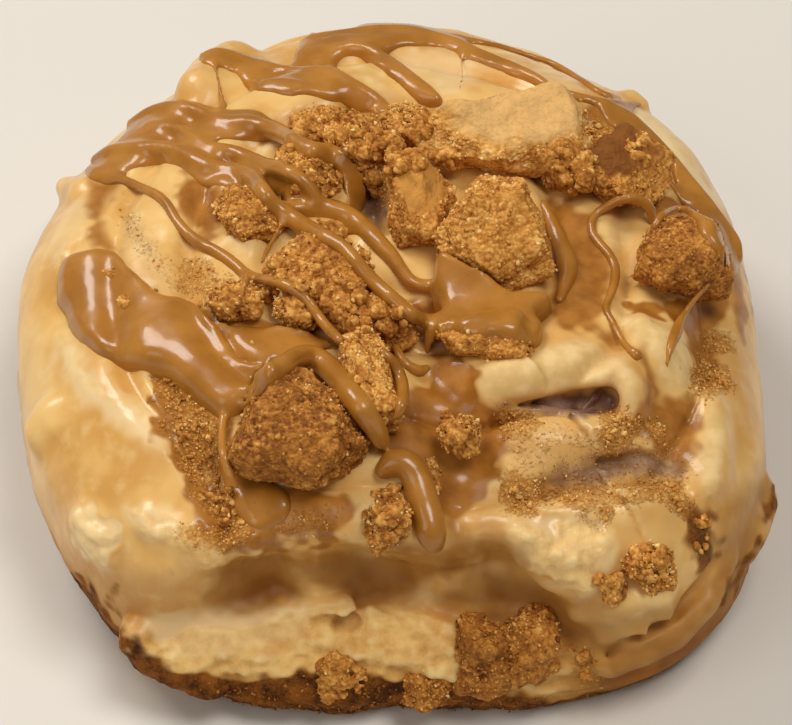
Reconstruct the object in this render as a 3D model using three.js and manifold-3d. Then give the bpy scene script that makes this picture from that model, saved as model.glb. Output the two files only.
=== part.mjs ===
// A glazed cinnamon roll with thick cookie-butter drizzle and broken spiced biscuits on top.
// Millimetres, +Z up. The origin is the middle of the base, and -Y is the torn front of the roll.
// The dough is one strip, wound outwards anticlockwise from the heart, with a cinnamon filling
// strip between its turns. Each large piece of biscuit is pressed a little into the top.
import * as THREE from "three";
import { mergeVertices } from "three/addons/utils/BufferGeometryUtils.js";
import Module from "manifold-3d";

const wasm = await Module();
wasm.setup();

const degree = Math.PI / 180;
const clearance = 0.3; // between pieces that touch

// The whole roll, as a dome with a round shoulder on an upright wall
const meanRadius = 58;
const crownHeight = 41;
const shoulderHeight = 18; // where the shoulder's curve runs into the wall
const shoulderSquareness = 3.6;
const shoulderFullness = 2.2;
const outlineWaves = [
  { lobes: 2, cosine: -2.1, sine: -0.7 },
  { lobes: 3, cosine: -0.4, sine: -1.9 },
  { lobes: 4, cosine: -1.6, sine: 0 },
  { lobes: 5, cosine: -0.6, sine: 1.2 },
];

const outlineSwell = { heading: 60 * degree, reach: 24 * degree, size: 1.6 };
const footInset = { heading: -147 * degree, reach: 42 * degree, size: 3 };

// The winding. A place along it is counted in turns, and a share of 1 is the outline.
const windingHeading = -54 * degree; // where the turn count is whole
const shareOfOneTurn = 0.197;
const heartTurn = 0.2; // where the heart ends and the coil starts
const outerTurn = 3.647; // where the strip first meets the outside
const tailTurn = 4.64; // where it ends
const coreRadius = 1.4; // the solid middle of the heart
const tailPress = { turns: 0.42, share: 0.052 }; // the end is drawn out thin against the side
const startInset = 0.02; // how much the outside turn stands back under the tail, as a share
const startLength = 0.035;
const stationsPerTurn = 36;
const crownDip = 2.8; // how far the seams lie below the crown of a turn
const turnsAcross = [0, 0.12, 0.34, 0.66, 0.88, 1];

// The filling, and the two seams that stand open at the front right
const fillingThickness = 1;
const fillingFoot = 0.5;
const fillingDrop = 1.4; // below the edge of the dough
const openSeams = [
  { turn: 3.005, reach: 0.05, widen: 1.3, drop: 3.5 },
  { turn: 4.005, reach: 0.05, widen: 0.9, drop: 2 },
];
const terrace = { heading: -50 * degree, reach: 62 * degree, step: 1.5, level: 2.5 };

// The outside below the shoulder, whole and where the neighbouring roll was torn away
const wholeWall = [
  { share: 0.9, z: null },
  { share: 0.955, z: null },
  { share: 0.99, z: null },
  { share: 1, z: 18 },
  { share: 1, z: 11 },
  { share: 0.985, z: 5 },
  { share: 0.95, z: 1 },
  { share: 0.93, z: 0 },
];
const tornWall = [
  { share: 0.885, z: 33 },
  { share: 0.86, z: 29 },
  { share: 0.835, z: 26 },
  { share: 0.82, z: 22.5 },
  { share: 0.83, z: 16.5 },
  { share: 0.955, z: 13.3 },
  { share: 1, z: 6 },
  { share: 0.955, z: 0 },
];
const tear = { from: -117 * degree, to: -66 * degree, edge: 8 * degree };

function outlineRadius(angle) {
  let radius = meanRadius;
  for (const wave of outlineWaves) {
    radius += wave.cosine * Math.cos(wave.lobes * angle) + wave.sine * Math.sin(wave.lobes * angle);
  }
  return radius + outlineSwell.size * bump(angle, outlineSwell);
}

// 1 at a heading, falling to 0 at its reach on both sides
function bump(angle, { heading, reach }) {
  const away = Math.min(1, Math.abs(turnedBy(angle, heading)) / reach);
  return (1 - away * away) ** 2;
}

function domeHeight(share) {
  const fall = Math.max(0, 1 - Math.min(share, 1) ** shoulderSquareness);
  return shoulderHeight + (crownHeight - shoulderHeight) * fall ** (1 / shoulderFullness);
}

function unevenness(x, y) {
  return 0.7 * Math.sin(0.11 * x + 1) * Math.cos(0.13 * y - 0.6) + 0.4 * Math.sin(0.23 * y + 0.9);
}

function surfaceHeight(x, y) {
  return domeHeight(Math.hypot(x, y) / outlineRadius(Math.atan2(y, x))) + unevenness(x, y);
}

function headingOf(turn) {
  return windingHeading + turn * 2 * Math.PI;
}

function smoothStep(from, to, value) {
  const t = Math.min(1, Math.max(0, (value - from) / (to - from)));
  return t * t * (3 - 2 * t);
}

function turnedBy(heading, from) {
  return Math.atan2(Math.sin(heading - from), Math.cos(heading - from));
}

// Half the room between two turns at a place along the winding, and how much deeper the filling lies
function openingAt(turn) {
  const opening = { half: fillingThickness / 2 + clearance, drop: 0 };
  for (const seam of openSeams) {
    const near = Math.max(0, 1 - ((turn - seam.turn) / seam.reach) ** 2);
    opening.half += seam.widen * near;
    opening.drop += seam.drop * near;
  }
  return opening;
}

function terraceLift(turn) {
  const near = bump(headingOf(turn), terrace);
  return (terrace.level - turn) * terrace.step * near * smoothStep(1.2, 2, turn);
}

function tornShare(heading) {
  const start = turnedBy(heading, tear.from);
  const end = turnedBy(heading, tear.to);
  return smoothStep(-tear.edge, tear.edge, start) * (1 - smoothStep(-tear.edge, tear.edge, end));
}

function pointAt(heading, radius, z) {
  return new THREE.Vector3(radius * Math.cos(heading), radius * Math.sin(heading), z);
}

// The top of a turn between two radii, arched between its seams
function archedTop(turn, inner, outer, across, dipOutside) {
  const heading = headingOf(turn);
  return across.map((w) => {
    const radius = inner + (outer - inner) * w;
    const side = dipOutside ? Math.abs(2 * w - 1) : Math.max(0, 1 - 2 * w);
    const x = radius * Math.cos(heading);
    const y = radius * Math.sin(heading);
    return pointAt(heading, radius, surfaceHeight(x, y) + terraceLift(turn) - crownDip * side ** 3);
  });
}

// A closed solid from a row of rings of equal length, with its ends capped, or joined when the rings
// come round to the first one again. Points at one place become one vertex.
function solidFromRings(rings, comesRound = false) {
  const places = new Map();
  const vertices = [];
  const triangles = [];
  const indexOf = (point) => {
    const key = point.toArray().map((value) => (Math.abs(value) < 1e-5 ? 0 : value).toFixed(4)).join();
    if (!places.has(key)) {
      places.set(key, vertices.length / 3);
      vertices.push(...point.toArray());
    }
    return places.get(key);
  };
  const addTriangle = (a, b, c) => {
    if (a !== b && b !== c && c !== a) triangles.push(a, b, c);
  };
  const indexed = rings.map((ring) => ring.map(indexOf));
  const count = rings[0].length;
  for (let i = 0; i + 1 < indexed.length; i++) {
    for (let k = 0; k < count; k++) {
      const next = (k + 1) % count;
      addTriangle(indexed[i][k], indexed[i + 1][k], indexed[i + 1][next]);
      addTriangle(indexed[i][k], indexed[i + 1][next], indexed[i][next]);
    }
  }
  const addCap = (ring, order, facesBack) => {
    const flat = ring.map((point) => new THREE.Vector2(Math.hypot(point.x, point.y), point.z));
    const ringTurns = Math.sign(THREE.ShapeUtils.area(flat));
    for (const corners of THREE.ShapeUtils.triangulateShape(flat, [])) {
      const turns = Math.sign(THREE.ShapeUtils.area(corners.map((corner) => flat[corner])));
      const [a, b, c] = corners.map((corner) => order[corner]);
      if ((turns === ringTurns) !== facesBack) addTriangle(a, b, c);
      else addTriangle(a, c, b);
    }
  };
  if (!comesRound) {
    addCap(rings[0], indexed[0], false);
    addCap(rings.at(-1), indexed.at(-1), true);
  }
  return solidFromLists(new Float32Array(vertices), new Uint32Array(triangles));
}

function solidFromLists(vertProperties, triVerts) {
  const solid = new wasm.Manifold(new wasm.Mesh({ numProp: 3, vertProperties, triVerts }));
  if (solid.volume() > 0) return solid;
  const turned = triVerts.slice();
  for (let i = 0; i < turned.length; i += 3) [turned[i + 1], turned[i + 2]] = [turned[i + 2], turned[i + 1]];
  return new wasm.Manifold(new wasm.Mesh({ numProp: 3, vertProperties, triVerts: turned }));
}

function solidFromGeometry(geometry) {
  const bare = geometry.index ? geometry.toNonIndexed() : geometry.clone();
  bare.deleteAttribute("normal");
  bare.deleteAttribute("uv");
  const merged = mergeVertices(bare, 1e-3);
  return solidFromLists(merged.attributes.position.array, new Uint32Array(merged.index.array));
}

function meshFromSolid(name, solid, material) {
  const { numProp, numVert, vertProperties, triVerts } = solid.getMesh();
  const positions = new Float32Array(numVert * 3);
  for (let i = 0; i < numVert; i++) positions.set(vertProperties.subarray(i * numProp, i * numProp + 3), i * 3);
  const geometry = new THREE.BufferGeometry();
  geometry.setAttribute("position", new THREE.BufferAttribute(positions, 3));
  geometry.setIndex(new THREE.BufferAttribute(triVerts, 1));
  geometry.computeVertexNormals();
  const mesh = new THREE.Mesh(geometry, material);
  mesh.name = name;
  return mesh;
}

function largestBody(solid) {
  return solid.decompose().sort((a, b) => b.volume() - a.volume())[0];
}

// Places along the winding from one turn to another, on a fixed set of headings
function stationsBetween(from, to, perTurn) {
  const stations = [from];
  for (let i = Math.ceil(from * perTurn + 0.2); i < to * perTurn - 0.2; i++) stations.push(i / perTurn);
  stations.push(to);
  return stations;
}

function seamMiddle(turn) {
  const share = shareOfOneTurn * turn + tailPress.share * smoothStep(tailTurn - tailPress.turns, tailTurn, turn);
  return share * outlineRadius(headingOf(turn));
}

function seamRadius(turn, side) {
  return seamMiddle(turn) + side * openingAt(turn).half;
}

// One section of the strip: its foot at the seam, across its top, and down its outer side.
// The first turn is the heart, which has no hole in it, and the last one has the outside wall.
function stripSection(turn) {
  const heading = headingOf(turn);
  const inner = turn <= heartTurn ? 0 : seamRadius(turn, 1);
  if (turn > outerTurn) return outerSection(turn, inner);
  const outer = seamRadius(turn + 1, -1);
  const top = archedTop(turn, inner, outer, turnsAcross, inner > 0);
  const foot = pointAt(heading, outer, 0);
  return [pointAt(heading, inner, 0), ...top, ...Array(6).fill(foot)];
}

function outerSection(turn, inner) {
  const heading = headingOf(turn);
  const outline = outlineRadius(heading);
  const narrowing = Math.min(1, (1 - inner / outline) / 0.2);
  const eased = 1 - startInset * (1 - smoothStep(outerTurn, outerTurn + startLength, turn));
  const torn = tornShare(heading);
  const wall = wholeWall.map((whole, i) => {
    const narrowed = 1 - (1 - whole.share) * narrowing;
    const share = narrowed + (tornWall[i].share - narrowed) * torn;
    const top = share * eased * outline;
    const wholeZ = whole.z ?? surfaceHeight(top * Math.cos(heading), top * Math.sin(heading));
    const z = wholeZ + (tornWall[i].z - wholeZ) * torn;
    const inset = footInset.size * narrowing * bump(heading, footInset) * Math.max(0, 1 - z / shoulderHeight);
    return pointAt(heading, top - inset, z);
  });
  const shelf = (0.9 * narrowing + 1 - narrowing) * outline;
  const top = archedTop(turn, inner, shelf, [0, 0.15, 0.35, 0.65], false);
  return [pointAt(heading, inner, 0), ...top, ...wall];
}

function coreSolid() {
  const height = shoulderHeight;
  const core = new THREE.CylinderGeometry(coreRadius, coreRadius, height, 8);
  core.rotateX(90 * degree);
  core.translate(0, 0, height / 2);
  return solidFromGeometry(core);
}

function stripSolid() {
  const turns = [
    ...stationsBetween(heartTurn - 0.95, heartTurn, stationsPerTurn),
    ...stationsBetween(heartTurn + 0.03, outerTurn, stationsPerTurn),
    ...stationsBetween(outerTurn, tailTurn, stationsPerTurn * 2).slice(1),
  ];
  return solidFromRings(turns.map(stripSection));
}

function fillingSolid(margin = 0, room = 0) {
  const stations = [
    ...stationsBetween(heartTurn + 0.1, outerTurn, stationsPerTurn),
    ...stationsBetween(outerTurn, tailTurn - 0.01, stationsPerTurn * 2).slice(1),
  ];
  const rings = stations.map((turn) => {
    const heading = headingOf(turn);
    const middle = seamMiddle(turn);
    const edge = surfaceHeight(middle * Math.cos(heading), middle * Math.sin(heading)) - crownDip;
    const top = edge + Math.min(terraceLift(turn - 1), terraceLift(turn)) - fillingDrop - openingAt(turn).drop;
    const half = fillingThickness / 2 + margin + room;
    return [
      pointAt(heading, middle - half, fillingFoot - margin),
      pointAt(heading, middle - half, top + margin),
      pointAt(heading, middle + half, top + margin),
      pointAt(heading, middle + half, fillingFoot - margin),
    ];
  });
  return solidFromRings(rings);
}

// Drizzle: a round strand of cookie butter over the top, and a puddle with a level edge
function strandSolid({ width, rise = 0.25, route }) {
  const points = route.map(([x, y]) => new THREE.Vector3(x, y, surfaceHeight(x, y) + width * rise));
  const curve = new THREE.CatmullRomCurve3(points, false, "centripetal");
  const section = new THREE.Shape(
    Array.from({ length: 5 }, (_, i) => {
      const angle = (i * 2 * Math.PI) / 5;
      return new THREE.Vector2((width / 2) * Math.cos(angle), (width / 2) * Math.sin(angle));
    }),
  );
  const steps = Math.round(curve.getLength() / 4.5);
  return solidFromGeometry(new THREE.ExtrudeGeometry(section, { steps, extrudePath: curve }));
}

function domeSolid(lift) {
  const rings = [];
  for (let i = 0; i <= 40; i++) {
    const heading = (i % 40) * 9 * degree;
    const outline = outlineRadius(heading);
    const ring = [pointAt(0, 0, 5)];
    for (const share of [0, 0.2, 0.4, 0.6, 0.75, 0.86, 0.94]) {
      const [x, y] = [share * outline * Math.cos(heading), share * outline * Math.sin(heading)];
      ring.push(new THREE.Vector3(x, y, surfaceHeight(x, y) + lift));
    }
    ring.push(pointAt(heading, 0.94 * outline, 5));
    rings.push(ring);
  }
  return solidFromRings(rings, true);
}

function puddleSolid({ outline, thickness }) {
  const edge = new THREE.CatmullRomCurve3(outline.map(([x, y]) => new THREE.Vector3(x, y, 0)), true, "centripetal");
  const shape = new THREE.Shape(edge.getPoints(outline.length * 2).slice(1).map(({ x, y }) => new THREE.Vector2(x, y)));
  const column = new THREE.ExtrudeGeometry(shape, { depth: 40, bevelEnabled: false, steps: 1 });
  column.translate(0, 0, 22);
  return solidFromGeometry(column).intersect(domeSolid(thickness));
}

// Broken biscuit: a ball of the piece's three sizes with flat breaks cut off it and a craggy face
function scatter(seed, draw) {
  const value = Math.sin(seed * 127.1 + draw * 311.7) * 43758.5453;
  return value - Math.floor(value);
}

// A break lies "reach" from the middle, in half sizes, and faces "round" degrees from +X and "up"
function breakAt({ round, up, reach }) {
  const flat = Math.sqrt(1 - up * up);
  return { normal: new THREE.Vector3(flat * Math.cos(round * degree), flat * Math.sin(round * degree), up), reach };
}

function scatteredBreaks(seed) {
  return Array.from({ length: 10 }, (_, k) => {
    return { round: 360 * scatter(seed, k + 20), up: 2 * scatter(seed, k) - 1, reach: 0.74 + 0.2 * scatter(seed, k + 40) };
  });
}

function biscuitGeometry({ at, size, heading = 0, tilt = 0, roll = 0, seed, broken, detail = 2 }, margin = 0) {
  const geometry = mergedBall(detail);
  const breaks = (broken ?? scatteredBreaks(seed)).map(breakAt);
  const position = geometry.attributes.position;
  const way = new THREE.Vector3();
  for (let i = 0; i < position.count; i++) {
    way.fromBufferAttribute(position, i).normalize();
    const block = (Math.abs(way.x) ** 4 + Math.abs(way.y) ** 4 + Math.abs(way.z) ** 4) ** -0.25;
    let reach = block;
    for (const cut of breaks) reach = Math.min(reach, cut.reach / Math.max(0.2, way.dot(cut.normal)));
    reach *= 1 + 0.05 * Math.sin(9 * way.x + seed) * Math.sin(8 * way.y + 2 * seed) + 0.03 * Math.sin(11 * way.z + seed);
    const [length, width, height] = size.map((value) => value / 2 + margin);
    position.setXYZ(i, way.x * reach * length, way.y * reach * width, way.z * reach * height);
  }
  geometry.rotateX(roll * degree);
  geometry.rotateY(tilt * degree);
  geometry.rotateZ(heading * degree);
  geometry.translate(at[0], at[1], surfaceHeight(at[0], at[1]) + at[2]);
  return geometry;
}

function mergedBall(detail) {
  const ball = new THREE.IcosahedronGeometry(1, detail);
  ball.deleteAttribute("normal");
  ball.deleteAttribute("uv");
  return mergeVertices(ball, 1e-4);
}

// Where the drizzle runs: places in plan, left to right and front to back
const strands = [
  { width: 2.4, route: [[-44, 20], [-40, 14.6], [-35, 10], [-31.2, 5.4], [-26.7, -0.4], [-20.8, -7.9], [-15.8, -9.5], [-12, -12.5], [-8, -19]] },
  { width: 4.4, route: [[-31, 20], [-28, 15.8], [-24.6, 12.9], [-20, 12.3], [-16, 7.4], [-12, 4.2], [-8.3, -0.4], [-4.6, -5], [1, -12], [4, -16.5]] },
  { width: 3.2, route: [[-30, 25.5], [-24, 21.5], [-18, 21], [-12, 19.5], [-7, 17.5], [-5.5, 12.5], [-6, 8.5]] },
  { width: 3, route: [[-8.3, 6.7], [-5.5, 4], [-2.5, 0], [0, -3.5], [2.6, -9.4]] },
  { width: 3.4, route: [[-30, 43], [-22, 41.5], [-17, 37.5], [-10.8, 37.4], [-6.2, 34], [-2.5, 31], [-0.8, 28]] },
  { width: 3, route: [[-8, 45], [0, 39], [2.5, 35.4], [6.2, 30.8]] },
  { width: 3.2, route: [[10, 43], [15.8, 39.5], [21.7, 36.7], [25.8, 33.3], [29.5, 30.5], [35, 26], [41.7, 20], [47, 14]] },
  { width: 2.2, route: [[30, 8.5], [28.2, 4.6], [28, 1.2], [30.4, -2], [31.9, -5.8], [30.8, -10], [29.6, -13.3], [31.7, -17.5], [33.3, -21.5]] },
  { width: 3, route: [[22.9, 3.5], [23.4, -1.7], [25, -5.4], [23.6, -9], [23, -13]] },
  { width: 4.6, route: [[-23.3, -31], [-23, -37], [-20.4, -42], [-16.5, -45.4]] },
  { width: 4, route: [[-33, 34], [-26, 31], [-20, 28]] },
];
const puddle = {
  thickness: 1.9,
  outline: [
    [-47.9, 0], [-45, 2.6], [-41, 2.2], [-38, -0.5], [-36, -6], [-30, -11], [-24.5, -14], [-19, -19], [-13, -20],
    [-12, -22.5], [-17, -25.5], [-20.5, -30], [-24.6, -30.2], [-29, -26], [-34, -22.6], [-40, -18.6], [-44.6, -12.5], [-47, -6.5],
  ],
};

// Pieces at least as large as a berry: each is a node. "at" is its place in plan and how far its
// middle stands above the surface.
const biscuits = [
  { name: "biscuit_front_left", at: [-11.9, -37.3, 3.2], size: [20.5, 15, 13], heading: -14, tilt: 4, roll: 16, seed: 3 },
  {
    name: "biscuit_centre_right", at: [13.6, -4.6, 4.2], size: [15.6, 17, 8.5], heading: 14, tilt: -4, roll: 34, seed: 7,
    broken: [
      { round: 124, up: 0.1, reach: 0.72 },
      { round: 226, up: 0.1, reach: 0.7 },
      { round: 80, up: 0.35, reach: 0.86 },
      { round: 10, up: 0.2, reach: 0.9 },
      { round: 280, up: 0.4, reach: 0.9 },
      { round: 180, up: 0.5, reach: 0.86 },
    ],
  },
  { name: "biscuit_back", at: [15.6, 17.8, 3.2], size: [24, 13.8, 11], heading: 6, tilt: 2, roll: 14, seed: 12 },
  { name: "biscuit_right", at: [40.3, -4.6, 4.2], size: [14, 13, 12], heading: 28, tilt: 10, roll: 8, seed: 18 },
  { name: "biscuit_back_right", at: [33.2, 13, 2.8], size: [14, 13, 6.5], heading: 60, tilt: 8, roll: 16, seed: 21 },
  { name: "biscuit_centre", at: [4, 3, 2.8], size: [9, 14, 8], heading: 4, tilt: 0, roll: 20, seed: 26 },
  { name: "biscuit_front_slip", at: [-3.6, -29.6, 2.9], size: [7.5, 17, 8], heading: 20, tilt: 0, roll: 10, seed: 31 },
  { name: "biscuit_middle_left", at: [-8.6, -12.2, 2.2], size: [17, 10, 8], heading: -38, tilt: 0, roll: 10, seed: 35 },
  { name: "biscuit_middle", at: [-2, -17.5, 2.2], size: [11, 9, 7], heading: -20, tilt: 0, roll: 0, seed: 39 },
  { name: "biscuit_heap", at: [-6, 17, 2.2], size: [11, 14, 8], heading: 30, tilt: 0, roll: 0, seed: 44 },
  { name: "biscuit_under_sauce", at: [13, -21.5, 1.2], size: [15, 7, 6], heading: -8, tilt: 0, roll: 0, seed: 47 },
  { name: "biscuit_left", at: [-12.5, 10.5, 1.8], size: [11, 8, 6.5], heading: -30, tilt: 0, roll: 0, seed: 52 },
];
// Smaller pieces are one with the dough
const crumbs = [
  { at: [-20.5, 3.6, 1.4], size: [9, 10, 5], heading: 20, seed: 61 },
  { at: [-21.5, -14.5, 1.4], size: [7.5, 6.5, 5], heading: 0, seed: 63 },
  { at: [-13, -16, 1], size: [6, 5, 4.5], heading: 10, seed: 66 },
  { at: [25.2, 13.5, 2.4], size: [7, 8, 7], heading: 0, seed: 69 },
  { at: [9, -36.5, 1.2], size: [6, 5, 5], heading: 30, seed: 72 },
  { at: [-0.5, -47.5, -0.5], size: [6.5, 7, 7], heading: 10, seed: 76 },
  { at: [34.5, -48.5, -2], size: [7.5, 6, 6.5], heading: 20, seed: 79 },
  { at: [2, 21, 2], size: [6, 8, 6], heading: 0, seed: 83 },
];
const footCrumbs = [
  { at: [15.4, -52.2, 12.6], size: [13, 9, 12.5], heading: -4, seed: 88 },
  { at: [5.2, -54, 6.8], size: [8, 6.4, 7.6], heading: 10, seed: 91 },
];

const doughFinish = new THREE.MeshStandardMaterial({ color: 0xd9ab67, roughness: 0.45, metalness: 0 });
const fillingFinish = new THREE.MeshStandardMaterial({ color: 0x7c5238, roughness: 0.6, metalness: 0 });
const biscuitFinish = new THREE.MeshStandardMaterial({ color: 0xa9692b, roughness: 0.9, metalness: 0 });

function atFoot(piece) {
  const [x, y, z] = piece.at;
  return { ...piece, at: [x, y, z - surfaceHeight(x, y)], detail: 1 };
}

let filling = fillingSolid();
let topping = puddleSolid(puddle);
for (const strand of strands) topping = topping.add(strandSolid(strand));
for (const crumb of crumbs) topping = topping.add(solidFromGeometry(biscuitGeometry({ ...crumb, detail: 1 })));
for (const crumb of footCrumbs) topping = topping.add(solidFromGeometry(biscuitGeometry(atFoot(crumb))));
topping = topping.subtract(fillingSolid(clearance, 0.15));
let dough = stripSolid().add(coreSolid()).add(topping);

const roll = new THREE.Group();
const placed = [];
for (const biscuit of biscuits) {
  const room = solidFromGeometry(biscuitGeometry(biscuit, clearance));
  let piece = solidFromGeometry(biscuitGeometry(biscuit));
  for (const other of placed) piece = piece.subtract(other);
  roll.add(meshFromSolid(biscuit.name, largestBody(piece), biscuitFinish));
  dough = dough.subtract(room);
  filling = filling.subtract(room);
  placed.push(room);
}
roll.add(meshFromSolid("dough", largestBody(dough), doughFinish));
roll.add(meshFromSolid("cinnamon_filling", largestBody(filling), fillingFinish));

export default roll;
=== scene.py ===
import math

import bmesh
import bpy
import numpy as np
import openvdb
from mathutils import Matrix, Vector


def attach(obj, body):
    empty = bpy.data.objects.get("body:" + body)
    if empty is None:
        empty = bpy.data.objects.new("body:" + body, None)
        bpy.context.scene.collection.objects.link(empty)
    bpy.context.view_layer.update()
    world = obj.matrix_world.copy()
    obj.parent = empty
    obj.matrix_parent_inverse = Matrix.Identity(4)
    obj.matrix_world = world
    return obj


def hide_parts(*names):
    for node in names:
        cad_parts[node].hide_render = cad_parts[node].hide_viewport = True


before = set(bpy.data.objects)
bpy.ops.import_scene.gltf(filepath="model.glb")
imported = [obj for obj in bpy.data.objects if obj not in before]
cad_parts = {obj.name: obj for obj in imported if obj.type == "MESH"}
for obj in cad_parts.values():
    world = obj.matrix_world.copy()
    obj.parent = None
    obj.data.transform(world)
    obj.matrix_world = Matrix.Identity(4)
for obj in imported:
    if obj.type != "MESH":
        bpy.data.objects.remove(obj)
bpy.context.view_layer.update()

degree = math.pi / 180
millimetre = 0.001

# The roll's own shape, in millimetres. Headings are in degrees from +X. An outline wave is a count of lobes
# with its cosine and sine; a swell or an inset is a heading, its reach to each side and its depth.
roll = {
    "meanRadius": 58,
    "crownHeight": 41,
    "shoulderHeight": 18,
    "squareness": 3.6,
    "fullness": 2.2,
    "outlineWaves": ((2, -2.1, -0.7), (3, -0.4, -1.9), (4, -1.6, 0), (5, -0.6, 1.2)),
    "outlineSwell": (60, 24, 1.6),
    "footInset": (-147, 42, 3),
    "crossedWaves": {"rise": 0.7, "x": (0.11, 1), "y": (0.13, -0.6)},
    "plainWaves": {"rise": 0.4, "y": (0.23, 0.9)},
}
# The winding of the strip: shares of the outline's radius and whole turns out from the heart. The top is a
# terrace lower for each turn outward round one heading.
winding = {
    "heading": -54,
    "share": 0.197,
    "heartTurn": 0.2,
    "tailTurn": 4.64,
    "tailPressTurns": 0.42,
    "tailPressShare": 0.052,
    "terraceHeading": -50,
    "terraceReach": 62,
    "terraceStep": 1.5,
    "terraceTurn": 2.5,
    "terraceFrom": (1.2, 2),
    "outerTurns": (3.6, 4.1),
    "rimShares": (0.88, 0.94),
    "rimWeight": 1.6,
}
# Shares of the outline's radius that the wall reaches at each height, where it is whole and where it is torn
wholeWall = {"z": (0, 1, 5, 11, 18), "share": (0.93, 0.95, 0.985, 1, 1)}
tornWall = {
    "z": (0, 6, 11, 13.3, 15, 17, 23, 26, 29, 33),
    "share": (0.955, 1, 0.985, 0.955, 0.865, 0.825, 0.8, 0.83, 0.858, 0.885),
}
tear = {"start": -117, "end": -66, "edge": 8, "ledgeSide": 10}
farAway = 9  # millimetres, or grain sizes: what a field holds before anything is near


def turnedBy(heading, start):
    # The angle from one heading to another, in radians from -pi to pi
    return np.arctan2(np.sin(heading - start), np.cos(heading - start))


def bump(angle, heading, reach):
    # 1 at the heading, falling to 0 at its reach to each side
    away = np.minimum(1, np.abs(turnedBy(angle, heading * degree)) / (reach * degree))
    return (1 - away**2) ** 2


def smoothStep(low, high, value):
    t = np.clip((value - low) / (high - low), 0, 1)
    return t * t * (3 - 2 * t)


def mixed(low, high, share):
    return low + (high - low) * share


def smoothMax(a, b, blend):
    near = np.maximum(0, blend - np.abs(a - b)) / blend
    return np.maximum(a, b) + near * near * blend / 4


def smoothMin(a, b, blend):
    return -smoothMax(-a, -b, blend)


def outlineRadius(angle):
    radius = roll["meanRadius"] + roll["outlineSwell"][2] * bump(angle, *roll["outlineSwell"][:2])
    for lobes, cosine, sine in roll["outlineWaves"]:
        radius = radius + cosine * np.cos(lobes * angle) + sine * np.sin(lobes * angle)
    return radius


def surfaceHeight(x, y):
    share = np.minimum(1, np.hypot(x, y) / outlineRadius(np.arctan2(y, x)))
    crown = roll["crownHeight"] - roll["shoulderHeight"]
    rise = crown * (1 - share ** roll["squareness"]) ** (1 / roll["fullness"])
    crossed, plain = roll["crossedWaves"], roll["plainWaves"]
    (alongX, startX), (alongY, startY) = crossed["x"], crossed["y"]
    uneven = crossed["rise"] * np.sin(alongX * x + startX) * np.cos(alongY * y + startY)
    uneven = uneven + plain["rise"] * np.sin(plain["y"][0] * y + plain["y"][1])
    return roll["shoulderHeight"] + rise + uneven


def tornShare(angle, wider=0):
    # 1 where the front is torn; wider reaches that many degrees further to the left
    start = (tear["start"] - wider) * degree
    begun = smoothStep(-tear["edge"] * degree, tear["edge"] * degree, turnedBy(angle, start))
    ended = smoothStep(-tear["edge"] * degree, tear["edge"] * degree, turnedBy(angle, tear["end"] * degree))
    return begun * (1 - ended)


def windingAt(x, y):
    # How far each place is from the nearest seam, and which turn of the strip it is on
    angle = np.arctan2(y, x)
    radius = np.hypot(x, y)
    part = ((angle - winding["heading"] * degree) / (2 * math.pi)) % 1
    nearest = np.full(np.shape(x), 99.0)
    turn = part - 1
    for whole in range(math.ceil(winding["tailTurn"])):
        seam = part + whole
        press = smoothStep(winding["tailTurn"] - winding["tailPressTurns"], winding["tailTurn"], seam)
        middle = (winding["share"] * seam + winding["tailPressShare"] * press) * outlineRadius(angle)
        real = (seam > winding["heartTurn"]) & (seam < winding["tailTurn"])
        nearest = np.where(real, np.minimum(nearest, np.abs(radius - middle)), nearest)
        turn = turn + (real & (radius > middle))
    return nearest, turn


def latticeValue(i, j, k, salt):
    # A repeatable value from 0 to 1 for each corner of a lattice, by mixing the bits of its place
    n = (i * 374761393 + j * 668265263 + k * 1442695041 + salt * 1274126177) & 0xFFFFFFFF
    n = ((n ^ (n >> 13)) * 1274126177) & 0xFFFFFFFF
    n = n ^ (n >> 16)
    return (n & 0xFFFFFF) / 16777216.0


def noise(points, size, salt=0):
    # Smooth noise from -1 to 1 with lumps of about that size
    scaled = points / np.asarray(size, float)
    cell = np.floor(scaled).astype(np.int64)
    f = scaled - cell
    f = f * f * (3 - 2 * f)
    total = 0
    for corner in range(8):
        a, b, c = corner & 1, corner >> 1 & 1, corner >> 2 & 1
        alongX, alongY, alongZ = (f[:, axis] if on else 1 - f[:, axis] for axis, on in enumerate((a, b, c)))
        value = latticeValue(cell[:, 0] + a, cell[:, 1] + b, cell[:, 2] + c, salt)
        total = total + alongX * alongY * alongZ * value
    return total * 2 - 1


def noiseSum(points, size, salt=0, octaves=3):
    total = 0
    for octave in range(octaves):
        total = total + noise(points, np.asarray(size) / 2**octave, salt + octave) / 2**octave
    return total / (2 - 2 ** (1 - octaves))


def grainField(points, size, salt=0):
    # Distance to the nearest of scattered grain middles, in grain sizes, and that grain's own tone
    scaled = points / size
    cell = np.floor(scaled).astype(np.int64)
    nearest = np.full(len(points), float(farAway))
    tone = np.zeros(len(points))
    for shift in np.ndindex(3, 3, 3):
        c = cell + np.array(shift) - 1
        offset = np.stack([latticeValue(*c.T, salt + axis) for axis in range(3)], axis=1)
        away = np.linalg.norm(c + 0.15 + 0.7 * offset - scaled, axis=1)
        closer = away < nearest
        nearest = np.where(closer, away, nearest)
        tone = np.where(closer, latticeValue(c[:, 0], c[:, 1], c[:, 2], salt + 7), tone)
    return nearest, tone


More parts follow.
